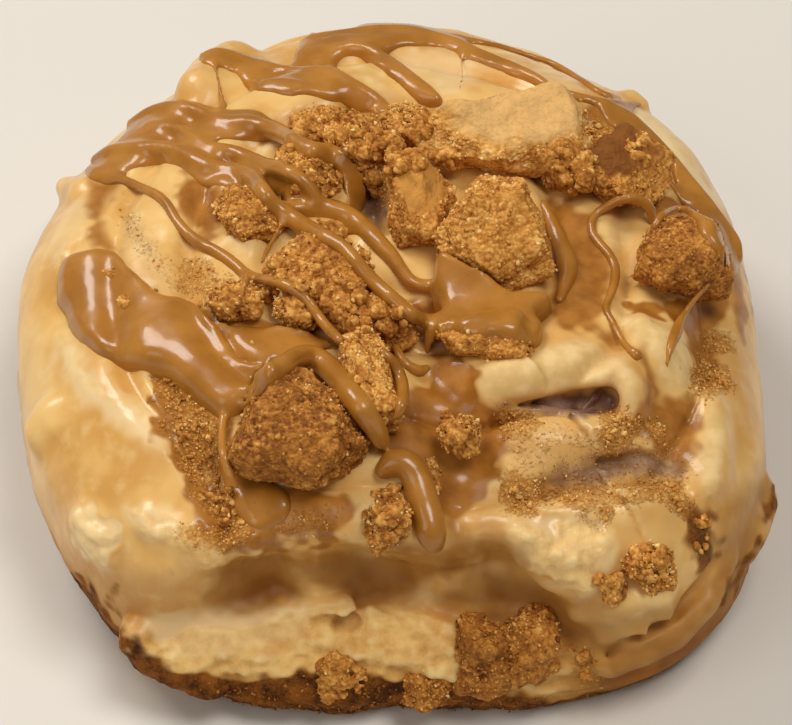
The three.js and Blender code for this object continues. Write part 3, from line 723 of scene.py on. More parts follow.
# What shows where on the dough
peelAtLeft = ((80, 508), (92, 502), (108, 516), (121, 527), (124, 537), (112, 546), (108, 559), (102, 565),
              (90, 560), (78, 546), (74, 530), (76, 516))
doughPatches = {
    "torn": (  # bare crumb
        patch(0.65, 0.6, *peelAtLeft),
        patch(0.75, 0.8, (136, 512), (160, 518), (182, 528), (200, 524), (213, 540), (222, 552), (225, 563),
            (214, 567), (198, 560), (182, 554), (168, 545), (148, 534)),
        patch(0.4, 0.8, (70, 352), (84, 370), (102, 386), (126, 400), (152, 414), (160, 426), (140, 422),
            (112, 408), (88, 390), (72, 370)),
        patch(1, 0.8, (506, 528), (520, 521), (536, 528), (546, 534), (562, 520), (592, 520), (612, 532),
            (613, 546), (601, 560), (600, 576), (592, 590), (575, 593), (558, 588), (544, 576), (530, 570),
            (534, 560), (524, 546), (512, 545)),
        patch(0.9, 0.8, (246, 536), (258, 533), (264, 545), (256, 553), (246, 549)),
        patch(0.7, 0.8, (560, 199), (575, 195), (593, 197), (597, 203), (585, 207), (572, 212), (562, 207)),
        patch(0.6, 1, (58, 252), (72, 244), (88, 232), (84, 246), (70, 256), (60, 264)),
    ),
    "brown": (  # baked crust
        patch(0.5, 1.6, (166, 564), (176, 562), (182, 574), (172, 582), (165, 575)),
        patch(0.45, 1.4, (130, 520), (144, 522), (142, 532), (132, 532)),
        patch(0.5, 1.2, (100, 586), (118, 584), (120, 598), (104, 600)),
        patch(0.5, 2.6, (572, 650), (586, 645), (600, 655), (600, 676), (586, 686), (572, 680)),
        patch(0.7, 1.8, (686, 512), (712, 504), (722, 530), (716, 556), (696, 566), (684, 540), fray=2),
        patch(0.85, 1.6, (72, 572), (84, 572), (100, 598), (122, 626), (146, 650), (170, 672), (165, 690),
            (136, 676), (104, 640)),
        patch(0.7, 1.2, (774, 484), (780, 500), (762, 545), (724, 604), (716, 600), (745, 555), (762, 515)),
    ),
    "film": (  # a thin film of caramel
        patch(0.75, 1.8, (270, 500), (300, 492), (342, 492), (350, 510), (346, 536), (320, 548), (280, 548),
            (262, 530), fray=2.6),
        # Its left end, round pixel (385, 445), is painted shadow rather than caramel
        patch(0.95, 2, (427, 383), (437, 357), (458, 358), (475, 371), (482, 392), (489, 404), (506, 423),
            (507, 452), (498, 478), (486, 498), (470, 511), (453, 518), (439, 505), (434, 480), (426, 462),
            (402, 456), (380, 452), (378, 436), (392, 418), (404, 400), (412, 384)),
        patch(0.95, 1.4, (690, 296), (706, 290), (724, 300), (730, 322), (722, 330), (706, 332), (704, 352),
            (716, 360), (704, 372), (694, 366), (688, 344), (682, 325)),
        patch(0.8, 2.4, (640, 352), (652, 366), (656, 380), (662, 394), (676, 398), (690, 396), (700, 402),
            (698, 425), (694, 452), (680, 466), (658, 455), (644, 440), (634, 420), (640, 404), (646, 385)),
        patch(0.85, 2.4, (545, 200), (560, 196), (592, 216), (592, 236), (612, 262), (612, 292), (600, 318),
            (612, 332), (628, 356), (620, 350), (596, 334), (572, 330), (556, 326), (552, 300), (560, 270),
            (546, 235)),
        patch(0.9, 1.2, (638, 196), (660, 190), (680, 200), (700, 218), (705, 224), (690, 214), (668, 214),
            (656, 226), (650, 214)),
        patch(0.85, 1.2, (626, 306), (648, 300), (690, 300), (694, 316), (680, 321), (664, 320), (645, 318)),
        patch(0.7, 2.6, (88, 178), (120, 180), (128, 184), (118, 190), (105, 200), (101, 215), (111, 235),
            (120, 252), (92, 252), (86, 236), (92, 215), (90, 195)),
        patch(0.9, 2.2, (186, 176), (215, 184), (246, 186), (250, 200), (238, 214), (222, 226), (208, 236),
            (193, 224), (180, 208), (172, 194)),
        patch(1, 1.2, (196, 306), (235, 316), (270, 318), (310, 322), (336, 340), (310, 362), (270, 376),
            (238, 378), (216, 350)),
        patch(0.95, 1.8, (180, 478), (205, 466), (230, 476), (250, 500), (272, 524), (300, 542), (262, 552),
            (232, 550), (202, 528)),
        patch(0.95, 1.8, (150, 376), (176, 374), (208, 400), (226, 420), (226, 470), (196, 478), (178, 470),
            (164, 432), fray=3),
        patch(0.7, 1.4, (345, 94), (362, 88), (392, 108), (380, 122), (352, 112)),
        patch(0.7, 1.6, (555, 100), (600, 104), (650, 150), (672, 190), (655, 192), (640, 165), (600, 130),
            (570, 124)),
        patch(0.7, 1.6, (722, 268), (742, 262), (744, 285), (752, 312), (745, 345), (736, 330), (735, 300)),
        patch(0.75, 1.4, (386, 300), (440, 296), (444, 330), (470, 345), (440, 352), (414, 344), (390, 330)),
    ),
    "mauve": (  # cinnamon stain
        patch(0.2, 1.8, (128, 214), (142, 226), (148, 246), (136, 250), (126, 234)),
        patch(1, 0.8, (498, 405), (540, 399), (575, 393), (606, 389), (616, 400), (616, 412), (600, 417),
            (560, 412), (520, 410)),
        patch(0.85, 1.1, (545, 482), (566, 470), (590, 461), (622, 452), (652, 453), (682, 466), (676, 476),
            (645, 476), (600, 480), (562, 486)),
        patch(0.9, 1.1, (344, 98), (352, 92), (382, 116), (378, 124), (362, 116)),
        # The dark gap beside the heap: partly cinnamon, partly painted shadow
        patch(0.9, 1, (358, 178), (386, 178), (388, 215), (376, 228), (360, 210)),
        patch(0.8, 0.8, (545, 248), (556, 248), (558, 270), (548, 272)),
    ),
    "dusted": (  # fine crumbs
        patch(0.62, 2.2, (150, 368), (165, 373), (184, 388), (200, 403), (216, 412), (226, 420), (220, 442),
            (224, 470), (237, 500), (256, 530), (240, 548), (222, 542), (207, 520), (196, 498), (188, 478),
            (178, 455), (168, 435), (168, 410), (158, 390), fray=3),
        patch(0.45, 2.8, (262, 530), (290, 510), (330, 502), (342, 510), (340, 530), (322, 544), (290, 544)),
        patch(0.7, 2, (497, 402), (530, 408), (541, 424), (528, 438), (505, 440), (496, 425)),
        patch(0.8, 2, (600, 412), (622, 409), (640, 420), (634, 446), (615, 458), (598, 452), (590, 434)),
        patch(0.9, 2, (500, 478), (515, 470), (540, 482), (546, 502), (538, 516), (508, 515), (496, 500)),
        patch(0.75, 2.2, (548, 488), (580, 485), (612, 496), (640, 480), (662, 475), (686, 486), (692, 506),
            (680, 519), (655, 506), (620, 512), (606, 530), (590, 515), (560, 505)),
        patch(0.9, 2, (690, 370), (705, 362), (728, 372), (736, 388), (722, 398), (708, 402), (694, 396)),
        patch(0.8, 1.8, (705, 333), (722, 327), (736, 338), (738, 352), (716, 354)),
        patch(0.9, 1.8, (645, 422), (664, 422), (674, 432), (664, 442), (650, 438)),
        patch(0.9, 2.4, (292, 116), (330, 106), (345, 114), (380, 112), (420, 104), (432, 122), (425, 160),
            (398, 190), (380, 205), (362, 190), (362, 165), (345, 146), (320, 141), (298, 140)),
        patch(0.6, 2.2, (172, 285), (185, 262), (205, 262), (230, 272), (240, 285), (220, 300), (215, 315),
            (196, 300)),
        patch(0.9, 2.2, (240, 345), (268, 338), (296, 345), (290, 362), (262, 368), (242, 362)),
        patch(0.9, 2.2, (545, 130), (580, 120), (640, 130), (652, 150), (640, 165), (600, 190), (570, 190),
            (548, 165)),
        patch(0.3, 3, (500, 404), (560, 418), (600, 420), (650, 424), (690, 440), (700, 470), (690, 510),
            (640, 524), (600, 520), (560, 512), (520, 516), (500, 500), (504, 460), (496, 430)),
        patch(0.55, 2, (180, 524), (200, 526), (214, 536), (212, 548), (196, 544), (182, 536)),
        patch(0.36, 3, (112, 196), (134, 204), (152, 226), (168, 250), (186, 280), (196, 300), (176, 300),
            (158, 290), (142, 270), (124, 246), (114, 222)),
        patch(0.5, 1.6, (572, 648), (588, 644), (602, 656), (602, 680), (584, 690), (570, 676)),
    ),
    "pale": (  # thick icing
        patch(0.9, 1.4, (476, 366), (500, 352), (545, 345), (575, 338), (600, 345), (622, 360), (642, 378),
            (644, 400), (636, 415), (622, 410), (617, 392), (608, 388), (560, 396), (500, 403), (484, 398),
            (477, 382)),
        patch(0.85, 1.2, (612, 308), (632, 311), (645, 320), (664, 321), (680, 323), (688, 345), (695, 371),
            (692, 388), (675, 395), (661, 392), (656, 375), (649, 358), (640, 343), (627, 330)),
        patch(0.3, 1.6, (505, 470), (520, 440), (560, 425), (600, 428), (612, 445), (590, 458), (560, 468),
            (545, 478), (520, 480)),
        patch(0.6, 1.2, (602, 222), (615, 214), (628, 220), (634, 232), (637, 246), (630, 252), (618, 250),
            (606, 238)),
        patch(0.8, 1.2, (345, 495), (362, 491), (373, 512), (376, 530), (362, 543), (350, 541), (353, 520)),
        patch(0.75, 1.4, (126, 225), (140, 215), (160, 240), (158, 262), (168, 285), (155, 286), (140, 270),
            (128, 250)),
        patch(0.7, 1.2, (282, 228), (300, 224), (318, 240), (322, 256), (300, 262), (284, 250)),
        patch(0.6, 1.2, (340, 57), (350, 55), (366, 65), (386, 80), (402, 90), (413, 104), (404, 109),
            (386, 96), (360, 78)),
        patch(0.6, 1.4, (224, 238), (240, 232), (258, 248), (254, 258), (240, 254), (228, 248)),
        patch(0.9, 1, (704, 398), (716, 398), (722, 440), (722, 482), (712, 490), (703, 480), (708, 440)),
        patch(0.6, 1.4, (640, 600), (656, 592), (662, 610), (650, 622), (622, 640), (600, 634), (606, 618)),
        patch(0.6, 1.6, (400, 600), (430, 580), (446, 590), (430, 608), (405, 614)),
    ),
    "white": (  # whiter icing, and painted sheen along the right rim and the left shoulder
        patch(1, 0.5, *peelAtLeft),
        patch(0.7, 1.2, (128, 508), (160, 510), (176, 522), (170, 540), (150, 536), (132, 524)),
        # Painted highlight along the left shoulder's crest
        patch(0.8, 1.6, (58, 338), (72, 346), (88, 368), (108, 388), (132, 402), (156, 414), (170, 430),
            (168, 446), (144, 438), (116, 426), (92, 410), (70, 384), (58, 356)),
        patch(0.6, 1, (504, 522), (530, 516), (562, 514), (596, 514), (616, 530), (614, 552), (604, 580),
            (588, 596), (560, 592), (536, 574), (514, 552), fray=2),
        patch(0.7, 1.4, (150, 626), (190, 612), (240, 606), (292, 602), (310, 610), (296, 634), (240, 654),
            (190, 656), (160, 644), fray=2.4),
        # Painted highlight along the right rim
        patch(0.9, 1, (632, 110), (652, 122), (676, 150), (702, 178), (728, 208), (716, 208), (700, 194),
            (680, 170), (660, 146), (644, 130)),
        patch(0.55, 1, (488, 49), (504, 49), (524, 57), (552, 62), (574, 74), (602, 88), (590, 90),
            (560, 78), (522, 62), (492, 56)),
        patch(0.4, 1.4, (52, 240), (66, 206), (84, 196), (92, 214), (84, 234), (66, 250), (54, 262)),
        patch(0.55, 1.6, (392, 52), (430, 48), (452, 52), (472, 62), (480, 76), (466, 88), (446, 94),
            (424, 78), (402, 66)),
        patch(0.9, 0.6, (249, 143), (256, 142), (264, 150), (258, 153)),
        patch(0.5, 1, (436, 190), (446, 188), (450, 200), (444, 206)),
    ),
    "amber": (  # painted shade: the glaze darkened and warmed in the recess under the lip and on the lower walls
        patch(1, 1.6, (200, 592), (212, 572), (226, 556), (260, 551), (300, 553), (365, 550), (400, 545),
            (440, 550), (462, 558), (468, 572), (440, 578), (412, 586), (385, 598), (350, 596), (330, 588),
            (306, 590), (282, 604), (262, 616), (228, 612), (204, 606)),
        patch(0.75, 2, (470, 560), (520, 572), (560, 592), (600, 598), (640, 612), (700, 596), (728, 540),
            (738, 500), (762, 500), (764, 530), (748, 572), (716, 612), (668, 650), (620, 684), (598, 690),
            (604, 655), (570, 640), (530, 612), (480, 600), (440, 604)),
        patch(0.95, 3, (716, 506), (770, 470), (772, 530), (744, 590), (704, 632), (660, 662), (650, 650),
            (690, 616), (714, 570)),
        patch(0.2, 2.4, (84, 560), (110, 572), (160, 578), (204, 590), (206, 612), (180, 622), (140, 625),
            (110, 615), (92, 595)),
        patch(0.7, 2, (470, 520), (500, 520), (530, 540), (540, 575), (520, 580), (480, 560), (450, 560),
            (450, 530)),
    ),
}
# The torn front: where its ledge lies, and the upper edges of its bare crumb and of the baked foot below, in
# pixels from left to right
tornEdge = {
    "ledgeHeights": (23, 19),
    "topSoft": 4,
    "footSoft": (-6, 9),
    "raggedPixels": 6,
    "finePixels": 5,
    "ledgeShare": (0.8, 0.86),
    "top": ((96, 618), (130, 634), (150, 637), (170, 637), (195, 625), (224, 627), (250, 624), (267, 620),
            (281, 615), (321, 608), (364, 605), (400, 608), (430, 614), (461, 628), (520, 640), (560, 652),
            (600, 668)),
    "foot": ((96, 634), (130, 650), (165, 668), (200, 675), (250, 677), (290, 672), (330, 666), (370, 672),
             (410, 682), (461, 690), (520, 696), (600, 700)),
}
# The heights in millimetres between which the brown foot ends, and where it goes higher at two corners. The
# glaze grows darker the lower it lies: partly the browner bake, partly painted shade near the floor.
baked = {
    "heights": (3.2, 0.8),
    "corners": (
        {"heading": -32, "reach": 34, "heights": (8, 3), "amount": 0.55},
        {"heading": -140, "reach": 26, "heights": (11, 4), "amount": 0.6},
    ),
    "toastedAndShadedHeights": (24, 5),
    "raggedHeight": 1.3,
}


def doughMasks(points, normals):
    # How strongly each kind of patch shows at each point, from 0 to 1, on the side that faces the camera
    x, y, z = points.T
    u, v = pixelOf(x, y, z)
    angle = np.arctan2(y, x)
    ragged = noiseSum(points, 4, 31)
    frayed = ragged + 0.7 * noise(points, 1.5, 33)
    facing = smoothStep(*patchFacing, -normals @ sightForward)
    masks = {}
    for kind, areas in doughPatches.items():
        mask = np.zeros(len(points))
        for area in areas:
            corners = np.array(area["outline"], float)
            low, high = corners.min(axis=0) - patchMargin, corners.max(axis=0) + patchMargin
            near = (u > low[0]) & (u < high[0]) & (v > low[1]) & (v < high[1]) & (facing > 0)
            away = pixelSize * polygonDistance(u[near], v[near], area["outline"])
            away = away + area["fray"] * frayed[near]
            strength = area["amount"] * facing[near] * smoothStep(area["soft"], -area["soft"], away)
            mask[near] = np.maximum(mask[near], strength)
        masks[kind] = mask
    outward = np.hypot(x, y) / outlineRadius(angle)
    ledge = tornShare(angle, tear["ledgeSide"]) * smoothStep(*tornEdge["ledgeShare"], outward)
    ledge = ledge * smoothStep(*tornEdge["ledgeHeights"], z)
    row = v + tornEdge["raggedPixels"] * ragged + tornEdge["finePixels"] * noise(points, 1.6, 34)
    topSoft = tornEdge["topSoft"]
    layer = ledge * smoothStep(-topSoft, topSoft, row - np.interp(u, *zip(*tornEdge["top"])))
    foot = ledge * smoothStep(*tornEdge["footSoft"], row - np.interp(u, *zip(*tornEdge["foot"])))
    masks["torn"] = np.maximum(masks["torn"], layer * (1 - foot))
    masks["amber"] = masks["amber"] * (1 - layer)
    height = z + baked["raggedHeight"] * ragged
    masks["brown"] = np.maximum(np.maximum(masks["brown"], foot), smoothStep(*baked["heights"], height))
    for corner in baked["corners"]:
        share = bump(angle, corner["heading"], corner["reach"]) * smoothStep(*corner["heights"], height)
        masks["brown"] = np.maximum(masks["brown"], corner["amount"] * share)
    # Darker toward the foot: partly the browner bake, partly painted shade near the floor
    masks["toasted"] = smoothStep(*baked["toastedAndShadedHeights"], height)
    return masks


# The fine relief, in millimetres. A layer of noise is its strength, the size of its lumps and its salt.
doughTexture = {
    "torn": 0.72,
    "tornLayers": ((1, (6, 5, 1.8), 41), (0.7, (3, 2.4, 1.2), 42), (0.3, 1, 45)),
    "tornClumps": (0.9, 1.9, 48),
    "grit": (0.32, 1.3, 43),
    "gritWaver": (0.5, 0.8, 46),
    "gritLift": 0.12,
    "dustedGrit": 0.7,
    "brownGrit": 0.8,
    "glazeLayers": ((0.3, (7, 7, 5), 44), (0.1, 2.6, 47)),
    "hollowRounds": 24,
    "hollowDepth": 0.5,
}


def hollows(points, faces, normals):
    # How far each place lies below its surroundings, from 0 to 1, and how far above them
    away = ((relaxed(points, faces, doughTexture["hollowRounds"]) - points) * normals).sum(axis=1)
    away = away / doughTexture["hollowDepth"]
    return np.clip(away, 0, 1), np.clip(-away, 0, 1)


def doughRelief(points, normals, masks):
    # Torn crumb stands up in ragged layers, crust and dust are grainy, and the glaze is gently uneven
    texture = doughTexture
    layered = sum(strength * noise(points, size, salt) for strength, size, salt in texture["tornLayers"])
    strength, size, salt = texture["tornClumps"]
    layered = layered + strength * (0.5 - grainField(points, size, salt)[0])
    grit, size, salt = texture["grit"]
    grains = 0.5 - grainField(points, size, salt)[0]
    strength, size, salt = texture["gritWaver"]
    grains = grains + strength * noise(points, size, salt)
    gritty = np.clip(texture["dustedGrit"] * masks["dusted"] + texture["brownGrit"] * masks["brown"], 0, 1)
    rise = texture["torn"] * masks["torn"] * layered + gritty * (grit * grains + texture["gritLift"])
    glazed = (1 - masks["torn"]) * (1 - masks["dusted"])
    uneven = sum(strength * noise(points, size, salt) for strength, size, salt in texture["glazeLayers"])
    return points + normals * (rise + glazed * uneven)[:, None]


# The dough's colours. Its mottling runs between two shades. Painted shade darkens the glaze in hollows,
# low on the walls and in the recess under the lip; the low darkening is partly the browner bake. The crest
# colours are painted light on raised places; the white is partly whiter icing, partly painted sheen.
doughColours = {
    "glaze": ((0.68, 0.355, 0.088), (0.84, 0.53, 0.18)),
    "paler": (0.88, 0.63, 0.29),
    "crest": (0.92, 0.70, 0.36),
    "hollow": (0.72, 0.55, 0.34),
    "toasted": (0.54, 0.34, 0.06),
    "icing": ((0.66, 0.45, 0.18), (0.83, 0.62, 0.31)),
    "white": (0.87, 0.67, 0.37),
    "amber": (0.44, 0.29, 0.12),
    "crumb": ((0.69, 0.375, 0.10), (0.87, 0.565, 0.195)),
    "crumbCrestLight": (0.97, 0.78, 0.42),
    "crumbHollowShade": (0.52, 0.27, 0.08),
    "crumbWhiteAndSheen": (0.90, 0.69, 0.36),
    "cinnamon": ((0.15, 0.07, 0.042), (0.36, 0.22, 0.155)),
    "caramel": ((0.32, 0.115, 0.013), (0.47, 0.195, 0.034)),
    "crust": ((0.06, 0.014, 0.001), (0.29, 0.095, 0.010)),
    "sand": ((0.70, 0.37, 0.085), (0.42, 0.165, 0.024)),
}
doughGloss = {
    "Subsurface_Weight": 0.18,
    "Subsurface_Radius": (1, 0.55, 0.25),
    "Subsurface_Scale": 0.003,
    "Coat_Roughness": 0.18,
    "Specular_IOR_Level": 0.2,
}


def doughFinish():
    graph = Graph("glazed_dough")
    kinds = (*doughPatches, "toasted", "hollow", "crest")
    torn, brown, film, mauve, dusted, pale, white, amber, toasted, hollow, crest = map(graph.attribute, kinds)
    colours = doughColours
    cloud = graph.noise(11, 3)
    mottle = graph.noise(3.2, 3, shift=5)
    fine = graph.noise(0.5, 4, shift=9)
    speck = graph.grains(0.6, shift=3)
    spread = mottle - 0.5
    glaze = graph.mix(graph.step(0.35, 0.68, cloud), *colours["glaze"])
    glaze = graph.mix(graph.step(0.5, 0.75, mottle) * 0.4, glaze, colours["paler"])
    # Painted light on crests and painted shade in hollows, from the relief
    glaze = graph.mix(crest * 0.55, glaze, colours["crest"])
    glaze = graph.mix(hollow * 0.7, glaze, glaze * colours["hollow"])
    # Darker toward the foot: partly the browner bake, partly painted shade
    glaze = graph.mix(toasted, glaze, glaze * colours["toasted"])
    icing = graph.mix(graph.step(0.35, 0.65, mottle), *colours["icing"])
    shades = graph.mix(pale * 0.8, glaze, icing)
    # Partly whiter icing, partly painted sheen
    shades = graph.mix(white * graph.step(0.3, 0.6, mottle + 0.25), shades, colours["white"])
    # Painted shade with an amber tint, in the recess under the lip and on the lower walls
    shades = graph.mix(amber * (0.75 + 0.5 * spread), shades, shades * colours["amber"])
    crumb = graph.mix(graph.step(0.3, 0.7, mottle + 0.3 * (fine - 0.5)), *colours["crumb"])
    # The same painted light and shade on the bare crumb
    crumb = graph.mix(crest * 0.6, crumb, colours["crumbCrestLight"])
    crumb = graph.mix(hollow * 0.8, crumb, colours["crumbHollowShade"])
    # Whiter crumb, partly painted sheen
    crumb = graph.mix(white * 0.5, crumb, colours["crumbWhiteAndSheen"])
    shades = graph.mix(torn, shades, crumb)
    shades = graph.mix(mauve, shades, graph.mix(graph.step(0.35, 0.65, mottle), *colours["cinnamon"]))
    caramel = graph.mix(graph.step(0.3, 0.7, mottle), *colours["caramel"])
    shades = graph.mix(graph.step(0.15, 0.65, film + 0.45 * spread), shades, caramel)
    crust = graph.mix(graph.step(0.3, 0.7, mottle + 0.4 * (fine - 0.5)), *colours["crust"])
    shades = graph.mix(graph.step(0.25, 0.75, brown + 0.5 * spread), shades, crust)
    sand = graph.mix(graph.step(0.15, 0.6, speck), *colours["sand"])
    sprinkled = graph.step(0.2, 0.75, dusted + 0.8 * (fine - 0.5) + 0.5 * spread)
    shades = graph.mix(sprinkled * 0.85, shades, sand)
    gritty = graph.step(0.1, 0.8, 0.45 * torn + brown + sprinkled)
    roughness = 0.3 + 0.14 * mottle + 0.28 * gritty - 0.06 * film + 0.12 * pale + 0.25 * toasted
    height = gritty * (0.6 * fine + 0.4 * mottle) + (1 - gritty) * 0.2 * mottle
    coat = 0.4 * (1 - graph.step(0, 0.7, gritty + pale + toasted + 0.7 * amber))
    return graph.finish(Base_Color=shades, Roughness=roughness, Normal=graph.bump(height, 0.5, 0.8),
                        Coat_Weight=coat, **doughGloss)


print("dough")
points, quads = surfaceOfField(doughField(), dough["low"], dough["step"])
points = relaxed(points, quads, 2)
doughNormals = normalsOf(points, quads)
doughCoats = doughMasks(points, doughNormals)
points = doughRelief(points, doughNormals, doughCoats)
points[:, 2] = np.maximum(points[:, 2], 0)
doughNormals = normalsOf(points, quads)
# How far each place lies below and above its surroundings, for painted shade and painted light
doughCoats["hollow"], doughCoats["crest"] = hollows(points, quads, doughNormals)
print("dough points", len(points), "quads", len(quads))
doughPiece = meshObject("dough_baked", points, quads)
paint(doughPiece, **doughCoats)
doughPiece.data.materials.append(doughFinish())
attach(doughPiece, "root")
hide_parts("dough")

# Biscuit: broken pieces pressed into the top. "at" is the place in plan and the height above the surface,
# "turns" the heading and the tilts to the side and back, "broken" the headings of broken sides, how far up
# they face and how near the middle they are. "top" is the finish of a smooth face, "tone" lightens the crumb
# and "lumpy" raises its lumps.
biscuits = (
    {"name": "biscuit_front_left", "at": (-11.9, -37.3, 3.2), "size": (20.5, 15, 13), "turns": (-14, 4, 16),
     "seed": 3, "tone": -0.15, "lumpy": 0.4},
    {"name": "biscuit_centre_right", "at": (13.6, -4.6, 4.2), "size": (15.6, 17, 8.5), "turns": (14, -4, 34),
     "seed": 7, "tone": 0.07, "lumpy": 0.35,
     "broken": ((124, 0.1, 0.72), (226, 0.1, 0.7), (80, 0.35, 0.86), (10, 0.2, 0.9), (280, 0.4, 0.9),
                (180, 0.5, 0.86))},
    {"name": "biscuit_back", "at": (15.6, 17.8, 3.2), "size": (24, 13.8, 11), "turns": (6, 2, 14),
     "seed": 12, "top": "pale", "tone": 0.2},
    {"name": "biscuit_right", "at": (40.3, -4.6, 4.2), "size": (14, 13, 12), "turns": (28, 10, 8),
     "seed": 18, "tone": -0.14},
    {"name": "biscuit_back_right", "at": (33.2, 13, 2.8), "size": (14, 13, 6.5), "turns": (60, 8, 16),
     "seed": 21, "top": "dark"},
    {"name": "biscuit_centre", "at": (4, 3, 2.8), "size": (9, 14, 8), "turns": (4, 0, 20), "seed": 26,
     "top": "golden"},
    {"name": "biscuit_front_slip", "at": (-3.6, -29.6, 2.9), "size": (7.5, 17, 8), "turns": (20, 0, 10),
     "seed": 31, "tone": 0.08},
    {"name": "biscuit_middle_left", "at": (-8.6, -12.2, 2.2), "size": (17, 10, 8), "turns": (-38, 0, 10),
     "seed": 35, "tone": -0.05},
    {"name": "biscuit_middle", "at": (-2, -17.5, 2.2), "size": (11, 9, 7), "turns": (-20, 0, 0), "seed": 39},
    {"name": "biscuit_heap", "at": (-6, 17, 2.2), "size": (11, 14, 8), "turns": (30, 0, 0), "seed": 44},
    {"name": "biscuit_under_sauce", "at": (13, -21.5, 1.2), "size": (15, 7, 6), "turns": (-8, 0, 0),
     "seed": 47},
    {"name": "biscuit_left", "at": (-12.5, 10.5, 1.8), "size": (11, 8, 6.5), "turns": (-30, 0, 0),
     "seed": 52},
)
# Smaller pieces, which are one with the dough in the solids. "foot" places a piece from the floor up, and
# two that show little have less detail.
crumbs = (
    {"at": (-20.5, 3.6, 1.4), "size": (9, 10, 5), "turns": (20, 0, 0), "seed": 61},
    {"at": (-21.5, -14.5, 1.4), "size": (7.5, 6.5, 5), "turns": (0, 0, 0), "seed": 63},
    {"at": (-13, -16, 1), "size": (6, 5, 4.5), "turns": (10, 0, 0), "seed": 66, "detail": 5},
    {"at": (25.2, 13.5, 2.4), "size": (7, 8, 7), "turns": (0, 0, 0), "seed": 69},
    {"at": (9, -36.5, 1.2), "size": (6, 5, 5), "turns": (30, 0, 0), "seed": 72},
    {"at": (-0.5, -47.5, -0.5), "size": (6.5, 7, 7), "turns": (10, 0, 0), "seed": 76},
    {"at": (34.5, -48.5, -2), "size": (7.5, 6, 6.5), "turns": (20, 0, 0), "seed": 79},
    {"at": (2, 21, 2), "size": (6, 8, 6), "turns": (0, 0, 0), "seed": 83, "detail": 5},
    {"at": (12.4, -52.4, 12.4), "size": (8.8, 9, 12), "turns": (-6, 3, 0), "seed": 88, "foot": True,
     "tone": -0.14},
    {"at": (18.4, -52.2, 12.4), "size": (8.2, 9, 12.8), "turns": (8, -3, 0), "seed": 103, "foot": True,
     "tone": -0.08},
    {"at": (5.2, -54, 6.8), "size": (8, 6.4, 7.6), "turns": (10, 0, 0), "seed": 91, "foot": True,
     "tone": -0.1},
)
breakCount = 10
usualLumpy = {"biscuit": 0.75, "crumb": 0.6}


def scatter(seed, draw):
    # A repeatable value from 0 to 1
    value = math.sin(seed * 127.1 + draw * 311.7) * 43758.5453
    return value - math.floor(value)


def ball(detail):
    # Directions all round, and the triangles between them
    shape = bmesh.new()
    bmesh.ops.create_icosphere(shape, subdivisions=detail, radius=1)
    points = np.array([vertex.co for vertex in shape.verts], float)
    faces = np.array([[vertex.index for vertex in face.verts] for face in shape.faces])
    shape.free()
    return points, faces


def turnAbout(axis, angle):
    first, second = (axis + 1) % 3, (axis + 2) % 3
    turn = np.eye(3)
    turn[first, first] = turn[second, second] = math.cos(angle)
    turn[second, first] = math.sin(angle)
    turn[first, second] = -math.sin(angle)
    return turn


def turned(points, turns):
    heading, tilt, back = (angle * degree for angle in turns)
    return points @ (turnAbout(2, heading) @ turnAbout(1, tilt) @ turnAbout(0, back)).T


def scatteredBreaks(seed):
    return [(360 * scatter(seed, k + 20), 2 * scatter(seed, k) - 1, 0.74 + 0.2 * scatter(seed, k + 40))
            for k in range(breakCount)]


biscuitForm = {"power": 4, "steepest": 0.2, "crossed": (0.05, 9, 8), "plain": (0.03, 11)}


def biscuitShape(biscuit, ways):
    # A rounded block with flat sides broken off it, a little wavy all over
    reach = (np.abs(ways) ** biscuitForm["power"]).sum(axis=1) ** (-1 / biscuitForm["power"])
    seed = biscuit["seed"]
    for heading, up, share in biscuit.get("broken") or scatteredBreaks(seed):
        level = math.sqrt(1 - up * up)
        normal = np.array([level * math.cos(heading * degree), level * math.sin(heading * degree), up])
        reach = np.minimum(reach, share / np.maximum(biscuitForm["steepest"], ways @ normal))
    rise, along, across = biscuitForm["crossed"]
    crossed = rise * np.sin(along * ways[:, 0] + seed) * np.sin(across * ways[:, 1] + 2 * seed)
    rise, upward = biscuitForm["plain"]
    reach *= 1 + crossed + rise * np.sin(upward * ways[:, 2] + seed)
    x, y, z = biscuit["at"]
    base = 0 if biscuit.get("foot") else float(surfaceHeight(np.array(x), np.array(y)))
    return turned(ways * reach[:, None] * np.array(biscuit["size"]) / 2, biscuit["turns"]) + (x, y, base + z)


# The broken crumb: its clumps, grains and sand. How far each stands out in millimetres, how much its own
# tone varies and how much lighter its crest and darker its gaps are painted are given for firm and for loose
# crumb; this crest term is painted light and shade. "ragged" and "pits" have a rise and a tone; their tone
# paints raised places lighter and pits darker, as painted light and shade.
crumbGrains = (
    {"size": 2.7, "salt": 0, "level": 0.55, "rise": (0.2, 0.2), "tone": (0.12, 0.12), "crest": (0.14, 0.14)},
    {"size": 1, "salt": 11, "level": 0.5, "rise": (0.14, 0.36), "tone": (0.16, 0.34), "crest": (0.15, 0.4)},
    {"size": 0.6, "salt": 14, "level": 0.5, "rise": (0.26, 0.26), "tone": (0.2, 0.2), "crest": (0.3, 0.3)},
)
crumbTexture = {"middle": 0.47, "ragged": (0.1, 0.08), "pits": (-0.18, -0.14)}


